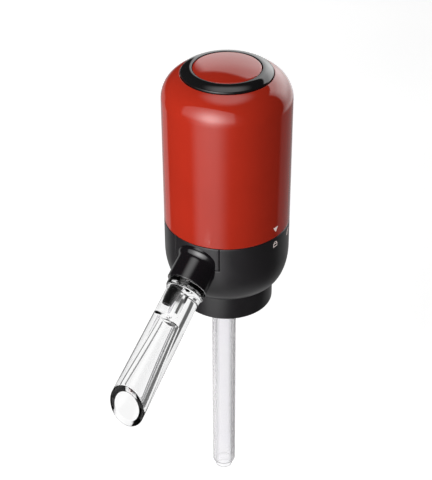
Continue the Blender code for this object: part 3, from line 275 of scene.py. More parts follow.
def plastic(name, colour, roughness, wave=0.02, tone=0.06, grain=0.0, specular=0.5):
    """Plastic whose colour drifts by tone and roughness by wave, with a bump for the grain."""
    parts = nodes_of(name)
    material, tree, shader, where = parts
    darker = tuple(c * (1 - tone) for c in colour)
    lighter = tuple(min(1, c * (1 + tone)) for c in colour)
    tint(parts, flow_scale, darker, lighter)
    polish(parts, gloss_scale, roughness - wave, roughness + wave)
    shader.inputs["Specular IOR Level"].default_value = specular
    if grain:
        bump = tree.nodes.new("ShaderNodeBump")
        set_inputs(bump, {"Strength": grain, "Distance": grain_depth})
        height = noise(tree, where, grain_scale, grain_detail)
        tree.links.new(height, bump.inputs["Height"])
        tree.links.new(bump.outputs["Normal"], shader.inputs["Normal"])
    return material


red = plastic("red_abs", (0.50, 0.029, 0.0125), 0.06, wave=0.012, tone=0.03)
gloss_black = plastic("gloss_black", (0.010, 0.0095, 0.010), 0.06, wave=0.015)
black = plastic(
    "black_abs", (0.019, 0.0175, 0.0195), 0.32, wave=0.03, tone=0.1, grain=0.25, specular=0.56
)
socket_black = plastic(
    "socket_black", (0.0085, 0.0070, 0.0088), 0.12, wave=0.015, tone=0.1, specular=0.8
)
nozzle_black = plastic(
    "nozzle_black", (0.006, 0.0052, 0.006), 0.3, wave=0.015, tone=0.1, specular=0.12
)
carrier = plastic("carrier_plastic", (0.10, 0.10, 0.11), 0.45, wave=0.05, tone=0.1, grain=0.4)
silicone = plastic("silicone", (0.42, 0.42, 0.43), 0.55, wave=0.06, tone=0.08, grain=0.2)
print("plastics:", red.name, gloss_black.name, black.name, carrier.name, silicone.name)

# %% [markdown]
# ## Upper shell
# The red shell is one deep injection moulding: a straight side, an elliptic shoulder, and a well in
# its top for the button. Its outline goes once round the wall, outer face and inner face, and is
# carried round the axis. The free lower edge has a small round, which catches the light line that
# the photograph shows above the seam.

# %% Upper shell
gap = 0.3
body_r, shell_wall, seam_z = 31.0, 1.8, 30.5
shell_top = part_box("upper_shell")[1].z / mm
button_low, button_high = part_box("power_button")
bezel_low, bezel_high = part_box("top_bezel")
button_r, bezel_r = button_high.x / mm, bezel_high.x / mm
shoulder_reach, shoulder_rise = 14.8, 13.9
shoulder_r = body_r - shoulder_reach
mouth_r = bezel_r + gap
shoulder_z = shell_top - shoulder_rise * sqrt(1 - ((mouth_r - shoulder_r) / shoulder_reach) ** 2)
top_angle = asin((shell_top - shoulder_z) / shoulder_rise)
recess_z = bezel_low.z / mm - gap
floor_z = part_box("button_spring")[0].z / mm - gap
well_r, well_wall, floor_wall, stem_hole = button_r + gap, 1.6, 1.6, 2.7
inner_z = recess_z - shell_wall
inner_angle = asin((inner_z - shoulder_z) / (shoulder_rise - shell_wall))

mouth_ease, side_overlap = 0.03, 1
centre = (shoulder_r, shoulder_z)
outer = quarter(centre, shoulder_reach, shoulder_rise, top_angle - mouth_ease, 0, 40)
foot = rounded([
    (body_r, shoulder_z - side_overlap, 0), (body_r, seam_z + gap / 2, 0.35),
    (body_r - shell_wall, seam_z + gap / 2, 0.3),
    (body_r - shell_wall, shoulder_z - side_overlap, 0),
])
inner = quarter(centre, shoulder_reach - shell_wall, shoulder_rise - shell_wall, 0, inner_angle, 14)
well = rounded([
    (inner[-1][0], inner_z, 0), (well_r + well_wall, inner_z, 0.8),
    (well_r + well_wall, floor_z - floor_wall, 0.8), (stem_hole, floor_z - floor_wall, 0.2),
    (stem_hole, floor_z, 0.2), (well_r, floor_z, 0.5), (well_r, recess_z, 0.25),
    (mouth_r, recess_z, 0.2), (mouth_r, shell_top, 0.35), (outer[0][0], outer[0][1], 0),
], count=5)
shell_skin = turned("shell_skin", np.concatenate([outer, foot, inner, well]), red, steps=256)
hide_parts("upper_shell")
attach(shell_skin, "shell")
print("shell top at", round(shell_top, 2), "mm, shoulder starts at", round(shoulder_z, 2), "mm")

# %% [markdown]
# ## Ring
# A glossy black ring frames the button. On the real dispenser it is a separate trim part, pressed
# into the shell, domed from its high inner edge down to its outer edge. The dome is a parabola, so
# the ring mirrors a wide piece of the studio as one soft light band.

# %% Top ring
crown_drop = 2.0
inner_ease, outer_ease = (0.25, -0.02), (-0.25, 0.25)
top_z = bezel_high.z / mm
edge_z = top_z - crown_drop
ring_in = button_r + gap
share = np.linspace(0, 1, 24)
crown = np.stack([ring_in + (bezel_r - ring_in) * share, edge_z + crown_drop * (1 - share**2)], -1)
crown[0] += inner_ease
crown[-1] += outer_ease
sides = rounded([
    (crown[-1][0], crown[-1][1], 0), (bezel_r, edge_z, 0.2), (bezel_r, bezel_low.z / mm, 0.2),
    (ring_in, bezel_low.z / mm, 0.2), (ring_in, top_z, 0.3), (crown[0][0], crown[0][1], 0),
], count=5)
ring_skin = turned("ring_skin", np.concatenate([crown, sides]), gloss_black, steps=256)
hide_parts("top_bezel")
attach(ring_skin, "shell")
print("ring from", round(ring_in, 2), "to", round(bezel_r, 2), "mm")

# %% [markdown]
# ## Button
# The button is a low dome with a rounded rim. Behind its face a skirt guides it in the well, and a
# stem with a neck reaches the switch. The clip snaps into that neck, so the neck's height comes
# from the CAD's clip, with a little room above and below.

# %% Power button
rise, rim = 1.2, 0.7
face_t, skirt, clip_room = 1.8, 7.4, 0.15
stem_r, stem_neck = 2.4, 1.9
dome_r = button_r - rim
dome = np.stack([dome_r * share, top_z + rise * (1 - share**2)], -1)
under_z, skirt_z = top_z - face_t, top_z - skirt
clip_low, clip_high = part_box("button_clip")
neck_low, neck_high = clip_low.z / mm - clip_room, clip_high.z / mm + clip_room
under = rounded([
    (dome_r, top_z, 0), (button_r, top_z - rim * 0.2, rim * 0.6), (button_r, skirt_z, 0.3),
    (button_r - well_wall, skirt_z, 0.3), (button_r - well_wall, under_z, 0.6),
    (stem_r, under_z, 0.5), (stem_r, neck_high, 0.1), (stem_neck, neck_high, 0.1),
    (stem_neck, neck_low, 0.1), (stem_r, neck_low, 0.1), (stem_r, button_low.z / mm, 0.4),
    (0, button_low.z / mm, 0),
])
button_skin = turned("button_skin", np.concatenate([dome, under]), red, closed=False)
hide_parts("power_button")
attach(button_skin, "button")
print("button top at", round(top_z + rise, 2), "mm")

# %% [markdown]
# ## Walls between two grids
# The housing isn't fully round, because it has a window for the spout's panel. Two grids are made
# for such a piece, one for the outer face and one for the inner, with the same rows and columns.
# Where a quad is left out, walls join the two grids, so the window has edges.

# %% Two-sided walls
def walled(name, outer, inner, keep, finish, wrap):
    """Wall between two grids of points, without the quads where keep is False.

    Each side of a kept quad that has no kept neighbour gets a wall from the outer to the inner
    grid."""
    rows, cols = outer.shape[:2]
    quads = grid_quads(rows, cols, False, wrap)
    pad = np.pad(keep, 1)
    if wrap:
        pad[1:-1, 0], pad[1:-1, -1] = keep[:, -1], keep[:, 0]
    open_sides = (~pad[1:-1, :-2], ~pad[2:, 1:-1], ~pad[1:-1, 2:], ~pad[:-2, 1:-1])
    shift = rows * cols
    faces = [quads[keep], quads[keep][:, ::-1] + shift]
    for side, missing in enumerate(open_sides):
        q = quads[keep & missing]
        a, b = q[:, side], q[:, (side + 1) % 4]
        faces.append(np.stack([b, a, a + shift, b + shift], -1))
    points = np.concatenate([outer.reshape(-1, 3), inner.reshape(-1, 3)])
    return make_mesh(name, points, np.concatenate(faces), finish)


def around(outline, angles):
    """Grid of points with the outline's rows at each angle, measured from -Y towards +X."""
    r, z = outline[..., 0] * mm, outline[..., 1] * mm
    return np.stack([r * np.sin(angles), -r * np.cos(angles), z + 0 * angles], -1)


bead = 0.3


def rolled(distance):
    """How far a face lies back near its edge: bead - sqrt(bead^2 - (bead - distance)^2)."""
    short = bead - np.clip(distance, 0, bead)
    return bead - np.sqrt(bead**2 - short**2)


print("an edge drops", bead, "mm over its last", bead, "mm")

# %% [markdown]
# ## Housing outlines
# The black housing hangs below the seam. Its side is straight, then rounds in to the collar. Two
# outlines describe it, one down the outside and one down the inside, with as many points in each
# stretch, so that row by row they belong together: the neck inside the shell, the side, and the
# curve with the floor round the collar's hole.

# %% Housing outlines
rim_z = seam_z - gap / 2
side_z, foot_z, foot_r = 14.2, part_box("base_housing")[0].z / mm, 22.8
collar_lap = 1.6
hole_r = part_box("bottle_collar")[1].x / mm - collar_lap
window_half, window_low = 12.4, rim_z - 12.7
neck_r, neck_top, neck_in, neck_foot, shelf_z = 28.9, 37.0, 26.9, 30.0, 27.35
wall, floor_in, floor_count = 1.7, 22.2, 6
fine_steps = np.array([0, 0.04, 0.1, 0.18, 0.3, 0.6])

neck = np.linspace((neck_r, neck_top), (neck_r, rim_z), 4, endpoint=False)
corner_count, lip_count, ledge_ease = 8, 6, 0.45
ledge = rounded([
    (29.0, rim_z, 0), (body_r, rim_z, ledge_ease), (body_r, rim_z - 0.5, 0),
], count=corner_count)[corner_count - 1:-corner_count]
straight = np.concatenate([
    np.linspace(rim_z - ledge_ease, window_low + 0.1, 8), window_low - fine_steps,
    np.linspace(window_low - 1.2, side_z, 4),
])
side = np.stack([0 * straight + body_r, straight], -1)
curve = quarter((foot_r, side_z), body_r - foot_r, foot_z - side_z, 0.04, pi / 2, 40)
lip = rounded([
    (curve[-1][0], foot_z, 0), (hole_r, foot_z, 0.3), (hole_r, foot_z + 0.8, 0),
], count=lip_count)[lip_count:]
outer_line = np.concatenate([neck, ledge, side, curve, lip])
side_count, curve_count = len(ledge) + len(side), len(curve) + len(lip)
inner_line = np.concatenate([
    np.linspace((neck_in, neck_top), (neck_in, neck_foot), len(neck)),
    np.linspace((neck_in, shelf_z), (body_r - wall, side_z), side_count),
    quarter((foot_r, side_z), body_r - foot_r - wall, foot_z + wall - side_z, 0, pi / 2,
            curve_count - floor_count),
    np.linspace((floor_in, foot_z + wall), (hole_r, foot_z + wall), floor_count),
])
print("housing outlines:", len(outer_line), "outer points and", len(inner_line), "inner points")

# %% [markdown]
# ## Lower housing
# At the front a window in the housing takes the spout's panel, which leaves the thin parting lines
# that show beside the knuckle. The grid has extra rows and columns there, so that the outer face
# can drop in a small round beside the window. A hole behind the knuckle takes the nozzle.

# %% Lower housing
column_step, angle_decimals = 1.5, 4
edge_angle = degrees(asin(window_half / body_r))
fine = np.degrees(np.concatenate([-fine_steps[::-1], fine_steps[1:]]) / body_r)
angles = np.radians(np.unique(np.round(np.concatenate([
    np.arange(-180, 180, column_step), edge_angle + fine, -edge_angle + fine,
]), angle_decimals)))
past_side = body_r * (np.abs(angles)[None, :] - radians(edge_angle))
past_foot = window_low - outer_line[:, 1][:, None]
from_window = np.hypot(np.maximum(past_side, 0), np.maximum(past_foot, 0))
outside_r = 30
outline = np.repeat(outer_line[:, None, :], len(angles), axis=1)
outline[..., 0] -= rolled(from_window) * (outer_line[:, 0] > outside_r)[:, None]
outer_grid = around(outline, angles)
inner_grid = around(inner_line[:, None, :], angles)

middle_angle = (angles + np.roll(angles, -1)) / 2
middle_angle[-1] = pi
middle_r, middle_z = ((outer_line[1:] + outer_line[:-1]) / 2).T
window_r = 29.0
in_window = (
    (np.abs(middle_angle)[None, :] < radians(edge_angle))
    & (middle_z > window_low)[:, None] & (middle_r > window_r)[:, None]
)
fall, apex = radians(30), 34.0
to_front = np.array([0, -cos(fall), -sin(fall)])
hidden_r, hidden_start, hidden_end = 10.6, 20, 34
middle = np.stack([
    middle_r[:, None] * np.sin(middle_angle), -middle_r[:, None] * np.cos(middle_angle),
    middle_z[:, None] - apex + 0 * middle_angle,
], -1)
ahead = middle @ to_front
beside = np.sqrt(np.maximum((middle**2).sum(-1) - ahead**2, 0))
in_knuckle = (beside < hidden_r) & (ahead > hidden_start) & (ahead < hidden_end)
keep = ~(in_window | in_knuckle)
housing_skin = walled("housing_skin", outer_grid, inner_grid, keep, black, wrap=True)
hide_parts("base_housing")
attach(housing_skin, "housing")
print("housing grid:", len(outer_line), "rows by", len(angles), "columns")

# %% [markdown]
# ## Front panel
# The panel fills the housing's window flush, with a hairline of room all round. It is one square
# grid bent to the body's radius, and its edges drop in the same small round as the window's do.
# Side by side, the two rounds make a dark parting line with a soft light edge.

# %% Front panel
panel_half, panel_low, panel_in = window_half - gap, window_low + gap, 29.4
inset = fine_steps[:5]
z_line = np.concatenate([
    rim_z - inset, np.linspace(rim_z - 1, panel_low + 1, 14), (panel_low + inset)[::-1],
])
a_edge = asin(panel_half / body_r)
a_line = np.concatenate([
    -a_edge + inset / body_r, np.linspace(-a_edge * 0.9, a_edge * 0.9, 40),
    (a_edge - inset / body_r)[::-1],
])
to_edge = np.minimum(
    np.minimum(rim_z - z_line, z_line - panel_low)[:, None],
    (body_r * (a_edge - np.abs(a_line)))[None, :],
)
heights = np.repeat(z_line[:, None], len(a_line), 1)
flat = np.stack([body_r - rolled(to_edge), heights], -1)
back = np.stack([0 * heights + panel_in, heights], -1)
keep = np.ones((len(z_line) - 1, len(a_line) - 1), bool)
panel_skin = walled(
    "panel_skin", around(flat, a_line), around(back, a_line), keep, black, wrap=False
)
print("panel", round(2 * panel_half, 1), "mm wide and", round(rim_z - panel_low, 1), "mm high")

# %% [markdown]
# ## Spout mount
# Knuckle and socket are one moulding, turned round the spout's own axis, which falls 30 degrees
# below the horizontal towards -Y. The socket is the tube that the clear spout plugs into. Behind it
# the outline flares out into the round knuckle in a hollow curve, and that curve mirrors the front
# lamp as the pale crescent of the photograph. A shoulder that bulged would mirror only the body.

# %% Spout mount
to_top = np.array([0, -sin(fall), cos(fall)])
to_side = np.array([1.0, 0, 0])


def down_spout(points):
    """Points made round Z, carried to the spout: (x, y, s) -> apex + x side + y top + s front."""
    origin = np.array([0, 0, apex * mm])
    return origin + points[:, :1] * to_side + points[:, 1:2] * to_top + points[:, 2:] * to_front


knuckle_start, knuckle_end, flare_length = 28.8, 33.1, 2.5
socket_floor, socket_end = 32.5, 44.9
socket_r, socket_bore, floor_hole, knuckle_r = 10.25, 8.2, 6.3, 11.6
socket = rounded([
    (floor_hole, knuckle_start, 0), (floor_hole, socket_floor, 0.3),
    (socket_bore, socket_floor, 0.3), (socket_bore, socket_end, 0.4), (socket_r, socket_end, 0.5),
    (socket_r, knuckle_end, 1.2), (knuckle_r, knuckle_end - flare_length, 0.6),
    (knuckle_r, knuckle_start, 0),
], closed=True, count=10)
socket_skin = turned("socket_skin", socket, socket_black, frame_of=down_spout)
for piece in (panel_skin, socket_skin):
    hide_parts("spout_mount")
    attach(piece, "housing")
print("socket ends", socket_end, "mm down the spout's axis")

# %% [markdown]
# ## Nozzle
# The wine leaves through a black nozzle beside the spout's axis. It is a slim tube that narrows in
# steps, with one raised ring near its root. The root behind it is a wide flange with a cup, held
# in the knuckle on the spout's axis, so it is turned as a piece of its own.

# %% Nozzle
beside_axis = -2.8
root_start, root_end, nozzle_end = 22.0, 30.2, 58.0


def beside_spout(points):
    """Points made round Z, carried to the nozzle's axis, which runs beside the spout's."""
    return down_spout(points + np.array([beside_axis * mm, 0, 0]))


nozzle = rounded([
    (0, root_end, 0), (3.0, root_end, 0), (3.0, 44.6, 0.2), (3.25, 44.9, 0.2), (3.25, 45.7, 0.2),
    (3.0, 46.0, 0.2), (3.1, 48.3, 0.2), (2.95, 48.6, 0.2), (2.9, 54.0, 0.5), (2.4, 56.9, 0.4),
    (2.3, nozzle_end, 0.35), (1.3, nozzle_end, 0.2), (1.2, 50, 0), (0, 50, 0),
])
nozzle_skin = turned(
    "nozzle_skin", nozzle, nozzle_black, closed=False, steps=96, frame_of=beside_spout
)
root = rounded([
    (0, root_end, 0), (7.9, root_end, 0.3), (7.9, 28.2, 0.3), (6.8, 28.2, 0.2),
    (6.8, root_start, 0.3), (5.1, root_start, 0.3), (5.1, 27.0, 0.2), (4.4, 27.0, 0.2),
    (4.4, 28.6, 0.2), (0, 28.6, 0),
])
root_skin = turned(
    "nozzle_root_skin", root, nozzle_black, closed=False, steps=96, frame_of=down_spout
)
for piece in (nozzle_skin, root_skin):
    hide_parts("nozzle")
    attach(piece, "housing")
print("nozzle ends", nozzle_end, "mm down the spout's axis,", -beside_axis, "mm beside it")

# %% [markdown]
# ## Outside of the clear spout
# The spout is a thick tube of clear acrylic. A spigot with a groove for its seal goes into the
# socket, a flange stops against it, and the tube widens a little to a mouth that is cut nearly
# upright. The whole spout is one closed grid of rings, each with a distance down the axis and a
# radius. These are the rings of its outer face, its lip and the wide bore behind the lip.

# %% Spout outside
flange_start, flange_end, flange_r = 45.15, 48.9, 9.8
spigot_start, spigot_hole, spigot_r = 36.2, 5.5, 7.5
groove_start, groove_end, groove_r = 39.5, 41.9, 6.6
spout_r, taper_start, tip_r, spout_end = 8.7, 54.5, 9.3, 110.5
bore_start, bore_start_r, mouth_r_end, bore_power = 66.6, 3.7, 6.65, 1.25
ease = 0.45
tilt = radians(5)
around_spout = np.linspace(0, 2 * pi, 224, endpoint=False)
a = around_spout[None, :]


def end_of(radius, angle):
    """Distance down the axis at which a point at this radius meets the slanted tip's plane."""
    across = -sin(fall) * cos(tilt) - cos(fall) * sin(tilt)
    ahead = -cos(fall) * cos(tilt) + sin(fall) * sin(tilt)
    return spout_end - radius * np.sin(angle) * across / ahead


outside = rounded([
    (spigot_hole, spigot_start, 0), (spigot_r, spigot_start, 0.4), (spigot_r, groove_start, 0.15),
    (groove_r, groove_start, 0.2), (groove_r, groove_end, 0.2), (spigot_r, groove_end, 0.15),
    (spigot_r, flange_start, 0.3), (flange_r, flange_start, 0.5), (flange_r, flange_end, 1.0),
    (spout_r + 0.4, flange_end, 0.4), (spout_r, 52.0, 1.5), (spout_r, taper_start, 0),
], count=corner_count)[corner_count:]
tail = np.linspace(0, 1, 30)[1:, None]
s_tail = taper_start + (end_of(tip_r, a) - taper_start) * tail
r_tail = spout_r + (tip_r - spout_r) * (s_tail - taper_start) / (spout_end - taper_start)
s_out = np.concatenate([outside[:, 1][:, None] + 0 * a, s_tail])
r_out = np.concatenate([outside[:, 0][:, None] + 0 * a, r_tail])
bend = np.linspace(0, pi / 2, 6)[1:, None]
s_out[-1] -= ease
s_round = s_out[-1] + ease * np.sin(bend)
r_round = r_out[-1] - ease * (1 - np.cos(bend))
end_in = end_of(mouth_r_end, a)
s_bore = end_in - ease + (bore_start - end_in + ease) * np.linspace(0, 1, 40)[:, None]
widened = ((s_bore - bore_start) / (spout_end - bore_start)) ** bore_power
r_bore = bore_start_r + (mouth_r_end - bore_start_r) * widened
s_lip = s_bore[0] + ease * np.cos(bend[:-1])
r_lip = r_bore[0] + ease * (1 - np.sin(bend[:-1]))
print("spout mouth", round(2 * mouth_r_end, 1), "mm wide in a tip of", round(2 * tip_r, 1), "mm")

# %% [markdown]
# ## Inside of the clear spout
# Behind the wide bore of the mouth, a round-ended hollow for the nozzle comes down from the
# socket at one side. A narrow hole joins them. On the way the centre moves from the spout's axis
# to the nozzle's, so each ring has a distance, a centre and a radius. Clear plastic shows bent
# light, so these hidden shapes are what the eye sees in the spout.

# %% Spout inside
hollow_r, hollow_end, hollow_round, hollow_side_end = 4.2, 64.6, 3.7, 59.5
neck_hole, neck_length, nozzle_hole = 1.2, 1.3, 3.3
trumpet_end, trumpet, chamber_r, chamber_shift = 50.2, 2.6, 6.2, -0.2


def quarter_curve(start, stop, share):
    """start + (stop - start) (1 - sqrt(1 - share^2)), flat at the start and upright at the stop."""
    return start + (stop - start) * (1 - np.sqrt(np.maximum(1 - share**2, 0)))


turn = np.linspace(0, 1, 14)[1:]
flare = np.linspace(0, 1, 16)
inside = np.concatenate([
    np.stack([bore_start - neck_length * turn, 0 * turn,
              quarter_curve(bore_start_r, neck_hole, turn)], -1),
    [(hollow_end, beside_axis / 2, neck_hole)],
    np.stack([hollow_end - hollow_round * (1 - np.cos(turn * pi / 2)), beside_axis + 0 * turn,
              neck_hole + (hollow_r - neck_hole) * np.sin(turn * pi / 2)], -1),
    [(s, beside_axis, hollow_r) for s in np.linspace(hollow_side_end, trumpet_end + 0.8, 8)],
    np.stack([trumpet_end - trumpet * flare, quarter_curve(beside_axis, chamber_shift, flare),
              quarter_curve(hollow_r, chamber_r, flare)], -1),
    [(46.7, chamber_shift, chamber_r), (46.45, -0.25, chamber_r - 0.1),
     (46.35, -0.4, chamber_r - 0.35), (46.3, beside_axis, nozzle_hole + 0.2),
     (46.1, beside_axis, nozzle_hole), (42.0, beside_axis, nozzle_hole),
     (spigot_start + 0.2, beside_axis, nozzle_hole)],
])
s_in, shift_in, r_in = (inside[:, i][:, None] + 0 * a for i in range(3))
print("inside rings:", len(inside), "of", len(around_spout), "points")

# %% [markdown]
# ## Clear acrylic
# The rings are joined into one skin, carried to the spout's axis, and turned one degree round the
# body, because the photograph's spout stands that little bit off the socket's middle. Acrylic bends
# light with an index of 1.49. Transmission 1 lets all light in, and where it strikes a wall too
# flatly it is mirrored inside, which draws the dark and bright lines along the tube.

# %% Clear spout
lean = radians(1.0)
s_all = np.concatenate([s_out, s_round, s_lip, s_bore, s_in, 0 * a + spigot_start])
r_all = np.concatenate([r_out, r_round, r_lip, r_bore, r_in, 0 * a + spigot_hole])
shift = np.zeros_like(s_all)
shift[-1 - len(s_in):-1] = shift_in
points = np.stack([r_all * np.cos(a) + shift, r_all * np.sin(a), s_all], -1) * mm
points = down_spout(points.reshape(-1, 3))
points = points @ np.array([[cos(lean), sin(lean), 0], [-sin(lean), cos(lean), 0], [0, 0, 1]])
quads = grid_quads(len(s_all), len(around_spout), True, True).reshape(-1, 4)

clear = nodes_of("clear_acrylic")
acrylic, tree, shader, where = clear
set_inputs(shader, {"Transmission Weight": 1, "IOR": 1.49})
tint(clear, 60, (0.995, 0.997, 1.0), (1.0, 1.0, 1.0))
polish(clear, 220, 0.0, 0.012)
spout_skin = make_mesh("spout_skin", points, quads, acrylic)
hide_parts("aerator_spout")
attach(spout_skin, "spout")
print("spout triangles:", len(spout_skin.data.polygons) * 2)

# %% [markdown]
# ## Collar
# The collar is a plain black cup below the housing, which drops over the bottle's lip. Its rim is
# rounded inside and out, so that it doesn't catch on the glass.

# %% Bottle collar
collar_low, collar_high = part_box("bottle_collar")
low_z, high_z = collar_low.z / mm, collar_high.z / mm
collar_r, collar_neck, collar_bore = collar_high.x / mm, 21.2, 18.9
collar_top = foot_z - gap
collar = rounded([
    (collar_neck, high_z, 0.3), (collar_neck, collar_top, 0.2), (collar_r, collar_top, 0.35),
    (collar_r, low_z, 0.5), (collar_bore, low_z, 0.5), (collar_bore, high_z, 0.3),
], closed=True)
collar_skin = turned("collar_skin", collar, black, steps=224)
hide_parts("bottle_collar")
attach(collar_skin, "housing")
print("collar radius", round(collar_r, 2), "mm")

# %% [markdown]
# ## Drop tube
# Two rigid tubes of milky plastic slide in each other, so that the lower end can reach the bottom
# of a tall bottle. The plastic lets light in and scatters it, which makes the tube look soft and a
# little blue. A low index of 1.3 keeps the edges from going dark, as a solid glass rod's would, and
# a trace of emission stands for the light that a milky wall passes on inside itself.

# %% Drop tube
milky = nodes_of("tube_plastic")
milk, tree, shader, where = milky
tint(milky, 90, (0.994, 0.99, 1.0), (0.999, 0.996, 1.0))
polish(milky, 300, 0.18, 0.22)
set_inputs(shader, {
    "Transmission Weight": 0.97, "IOR": 1.3,
    "Emission Color": (0.96, 0.93, 1.0, 1), "Emission Strength": 0.015,
})


def tube(name, node, wall, body):
    """Round tube as wide and long as the CAD node, with softly rounded ends."""
    low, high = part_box(node)
    r = (high.x - low.x) / 2 / mm
    centre = (low + high) / 2
    outline = rounded([
        (r, high.z / mm, 0.3), (r, low.z / mm, 0.3), (r - wall, low.z / mm, 0.3),
        (r - wall, high.z / mm, 0.3),
    ], closed=True)
    shift = np.array([centre.x, centre.y, 0])
    skin = turned(name, outline, milk, steps=96, frame_of=lambda points: points + shift)
    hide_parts(node)
    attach(skin, body)
    print(name, "radius", round(r, 2), "mm, centre y", round(centre.y / mm, 2), "mm")


tube("outer_tube_skin", "drop_tube_outer", 1.1, "housing")
tube("inner_tube_skin", "drop_tube_inner", 0.9, "inner_tube")

# %% [markdown]
# ## Printed marks
# Small white pad prints beside the seam tell how to twist the shell: a triangle on the red shell,
# and a closed and an open padlock on the black housing. Each is a film of ink: a flat outline laid
# on the curved wall, a twentieth of a millimetre high. The ink also has a faint pinkish emission,
# a painted glow that makes the prints look brighter than the lamps alone would light them.

# %% Marks
ink = plastic("white_ink_painted_glow", (0.90, 0.80, 0.77), 0.45, wave=0.04, tone=0.03)
# Painted glow: the ink's faint pinkish emission brightens the prints, though they are no lamp.
set_inputs(ink.node_tree.nodes["Principled BSDF"], {
    "Emission Color": (1, 0.78, 0.72, 1), "Emission Strength": 0.2,
})
film = np.array([0.02, 0.05])


def print_mark(name, outer, inner, angle, height, body, closed=True):
    """Band between two outlines (x, y in mm), wrapped on the body's side at an angle from -Y."""
    shares = np.linspace(0, 1, 4)[:, None, None]
    flat = np.array(outer, float) * shares + np.array(inner, float) * (1 - shares)
    bearing = radians(angle) + flat[..., 0] / body_r
    r = (body_r + film[:, None, None]) * mm
    up = (height + flat[..., 1]) * mm + 0 * r
    below, above = np.stack([r * np.sin(bearing), -r * np.cos(bearing), up], -1)
    keep = np.ones((3, flat.shape[1] - (not closed)), bool)
    mark = walled(name, above, below, keep, ink, wrap=closed)
    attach(mark, body)


def arc(centre, radius, count=14):
    """Half circle above its centre."""
    a = np.linspace(0, pi, count)
    return np.stack([np.cos(a), np.sin(a)], -1) * radius + np.array(centre)


def rectangle(half_width, half_height, centre_y, count=6):
    """Points along a rectangle's sides, the same number on each."""
    corners = np.array([(-1, -1), (1, -1), (1, 1), (-1, 1), (-1, -1)]) * (half_width, half_height)
    sides = [np.linspace(corners[i], corners[i + 1], count, endpoint=False) for i in range(4)]
    return np.concatenate(sides) + (0, centre_y)


triangle, triangle_middle = [(-1.7, 1.3), (1.7, 1.3), (0.0, -1.4)], (0, 0.4)
triangle_angle, triangle_z = 79.1, 35.2
print_mark(
    "twist_mark", triangle, [triangle_middle] * 3, triangle_angle, triangle_z, "shell"
)
lock_x, lock_y, lock_z, lock_low, stroke = 1.45, 1.0, 26.9, -0.6, 0.4
bow_r, bow_foot, bow_stroke = 1.15, 0.4, 0.35
lock_body = rectangle(lock_x, lock_y, lock_low)
lock_inside = rectangle(lock_x - stroke, lock_y - stroke, lock_low)
for name, angle, shift in (("lock", 79.0, 0.0), ("unlock", 102.5, 0.9)):
    bow, bow_inside = (arc((shift, bow_foot), r) for r in (bow_r, bow_r - bow_stroke))
    print_mark(f"{name}_body", lock_body, lock_inside, angle, lock_z, "housing")
    print_mark(f"{name}_bow", bow, bow_inside, angle, lock_z, "housing", closed=False)
print("marks lie", film[1], "mm above the body's side")

# %% [markdown]
# ## Metals
# The rest is only seen when the case is open, but it is dressed as carefully. The screws, spring
# and clip are plated steel, the motor has a drawn can, and the contacts are brass. Drawn metal has
# fine streaks along its length, so that noise is stretched along Z.

# %% Metals
tone_scale, streak_scale, streak_share, streak_depth = 200, 1800, 0.05, 0.06
worn_share = 0.86


def metal(name, colour, roughness, drawn=False):
    """Worn metal whose roughness varies in specks, or in streaks where it was drawn."""
    parts = nodes_of(name)
    material, tree, shader, where = parts
    shader.inputs["Metallic"].default_value = 1
    tint(parts, tone_scale, tuple(c * worn_share for c in colour), colour)
    stretch = tree.nodes.new("ShaderNodeMapping")
    stretch.inputs["Scale"].default_value = (1, 1, streak_share if drawn else 1)
    tree.links.new(where, stretch.inputs["Vector"])
    streaks = (material, tree, shader, stretch.outputs["Vector"])
    polish(streaks, streak_scale, roughness - streak_depth, roughness + streak_depth)
    return material


steel = metal("spring_steel", (0.60, 0.60, 0.61), 0.28)
can = metal("motor_can", (0.62, 0.62, 0.64), 0.32, drawn=True)
brass = metal("contact_brass", (0.78, 0.60, 0.30), 0.30)
print("metals:", steel.name, can.name, brass.name)

# %% [markdown]
# ## Cells, board and leads
# The cells wear a wrap in two tones, and every second one stands upside down, so there are two
# wraps. The board is green with paler tracks, which a noise with a hard step draws. The CAD shapes
# stay as they are, and each gets the material of its slot.

# %% Cells, board and leads
plus_share, line_half = 0.3, 0.2 * mm
plus_end, minus_end = (0.62, 0.36, 0.12), (0.03, 0.07, 0.05)


def wrap(name, plus_up):
    """Cell wrap in two tones, split at three tenths of its height from the plus end."""
    parts = nodes_of(name)
    material, tree, shader, where = parts
    split = tree.nodes.new("ShaderNodeSeparateXYZ")
    tree.links.new(where, split.inputs[0])
    low, high = (c.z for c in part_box("battery_1"))
    line = low + (high - low) * (1 - plus_share if plus_up else plus_share)
    above = between(tree, split.outputs["Z"], 0, 1, line - line_half, line + line_half)
    tones = (minus_end, plus_end) if plus_up else (plus_end, minus_end)
    tree.links.new(mixed(tree, above, *tones), shader.inputs["Base Color"])
    polish(parts, 240, 0.2, 0.3)
    return material


wraps = (wrap("cell_wrap", True), wrap("cell_wrap_turned", False))
printed = nodes_of("board")
board, tree, shader, where = printed
tracks = between(tree, noise(tree, where, 520, 0), 0, 1, 0.49, 0.51)
tree.links.new(
    mixed(tree, tracks, (0.010, 0.10, 0.045), (0.02, 0.17, 0.08)), shader.inputs["Base Color"]
)
polish(printed, 200, 0.3, 0.42)
lead_red = plastic("lead_red", (0.5, 0.02, 0.02), 0.4, wave=0.05)
lead_black = plastic("lead_black", (0.02, 0.02, 0.02), 0.4, wave=0.05)

finish_of = {
    "carrier_plastic": carrier, "silicone": silicone, "spring_steel": steel, "motor_can": can,
    "contact_brass": brass, "board": board, "lead_red": lead_red, "lead_black": lead_black,
    "gloss_black": gloss_black, "tube_plastic": milk, "red_abs": red, "black_abs": black,
    "clear_acrylic": acrylic,
}
for part in frame["record"]["subparts"]:
    node = frame["nodes"][part["node"]]
    if part["material_slot"] == "cell_wrap":
        finish = wraps[(int(part["node"][-1]) - 1) % 2]
    else:
        finish = finish_of[part["material_slot"]]
    node.data.materials.clear()
    node.data.materials.append(finish)

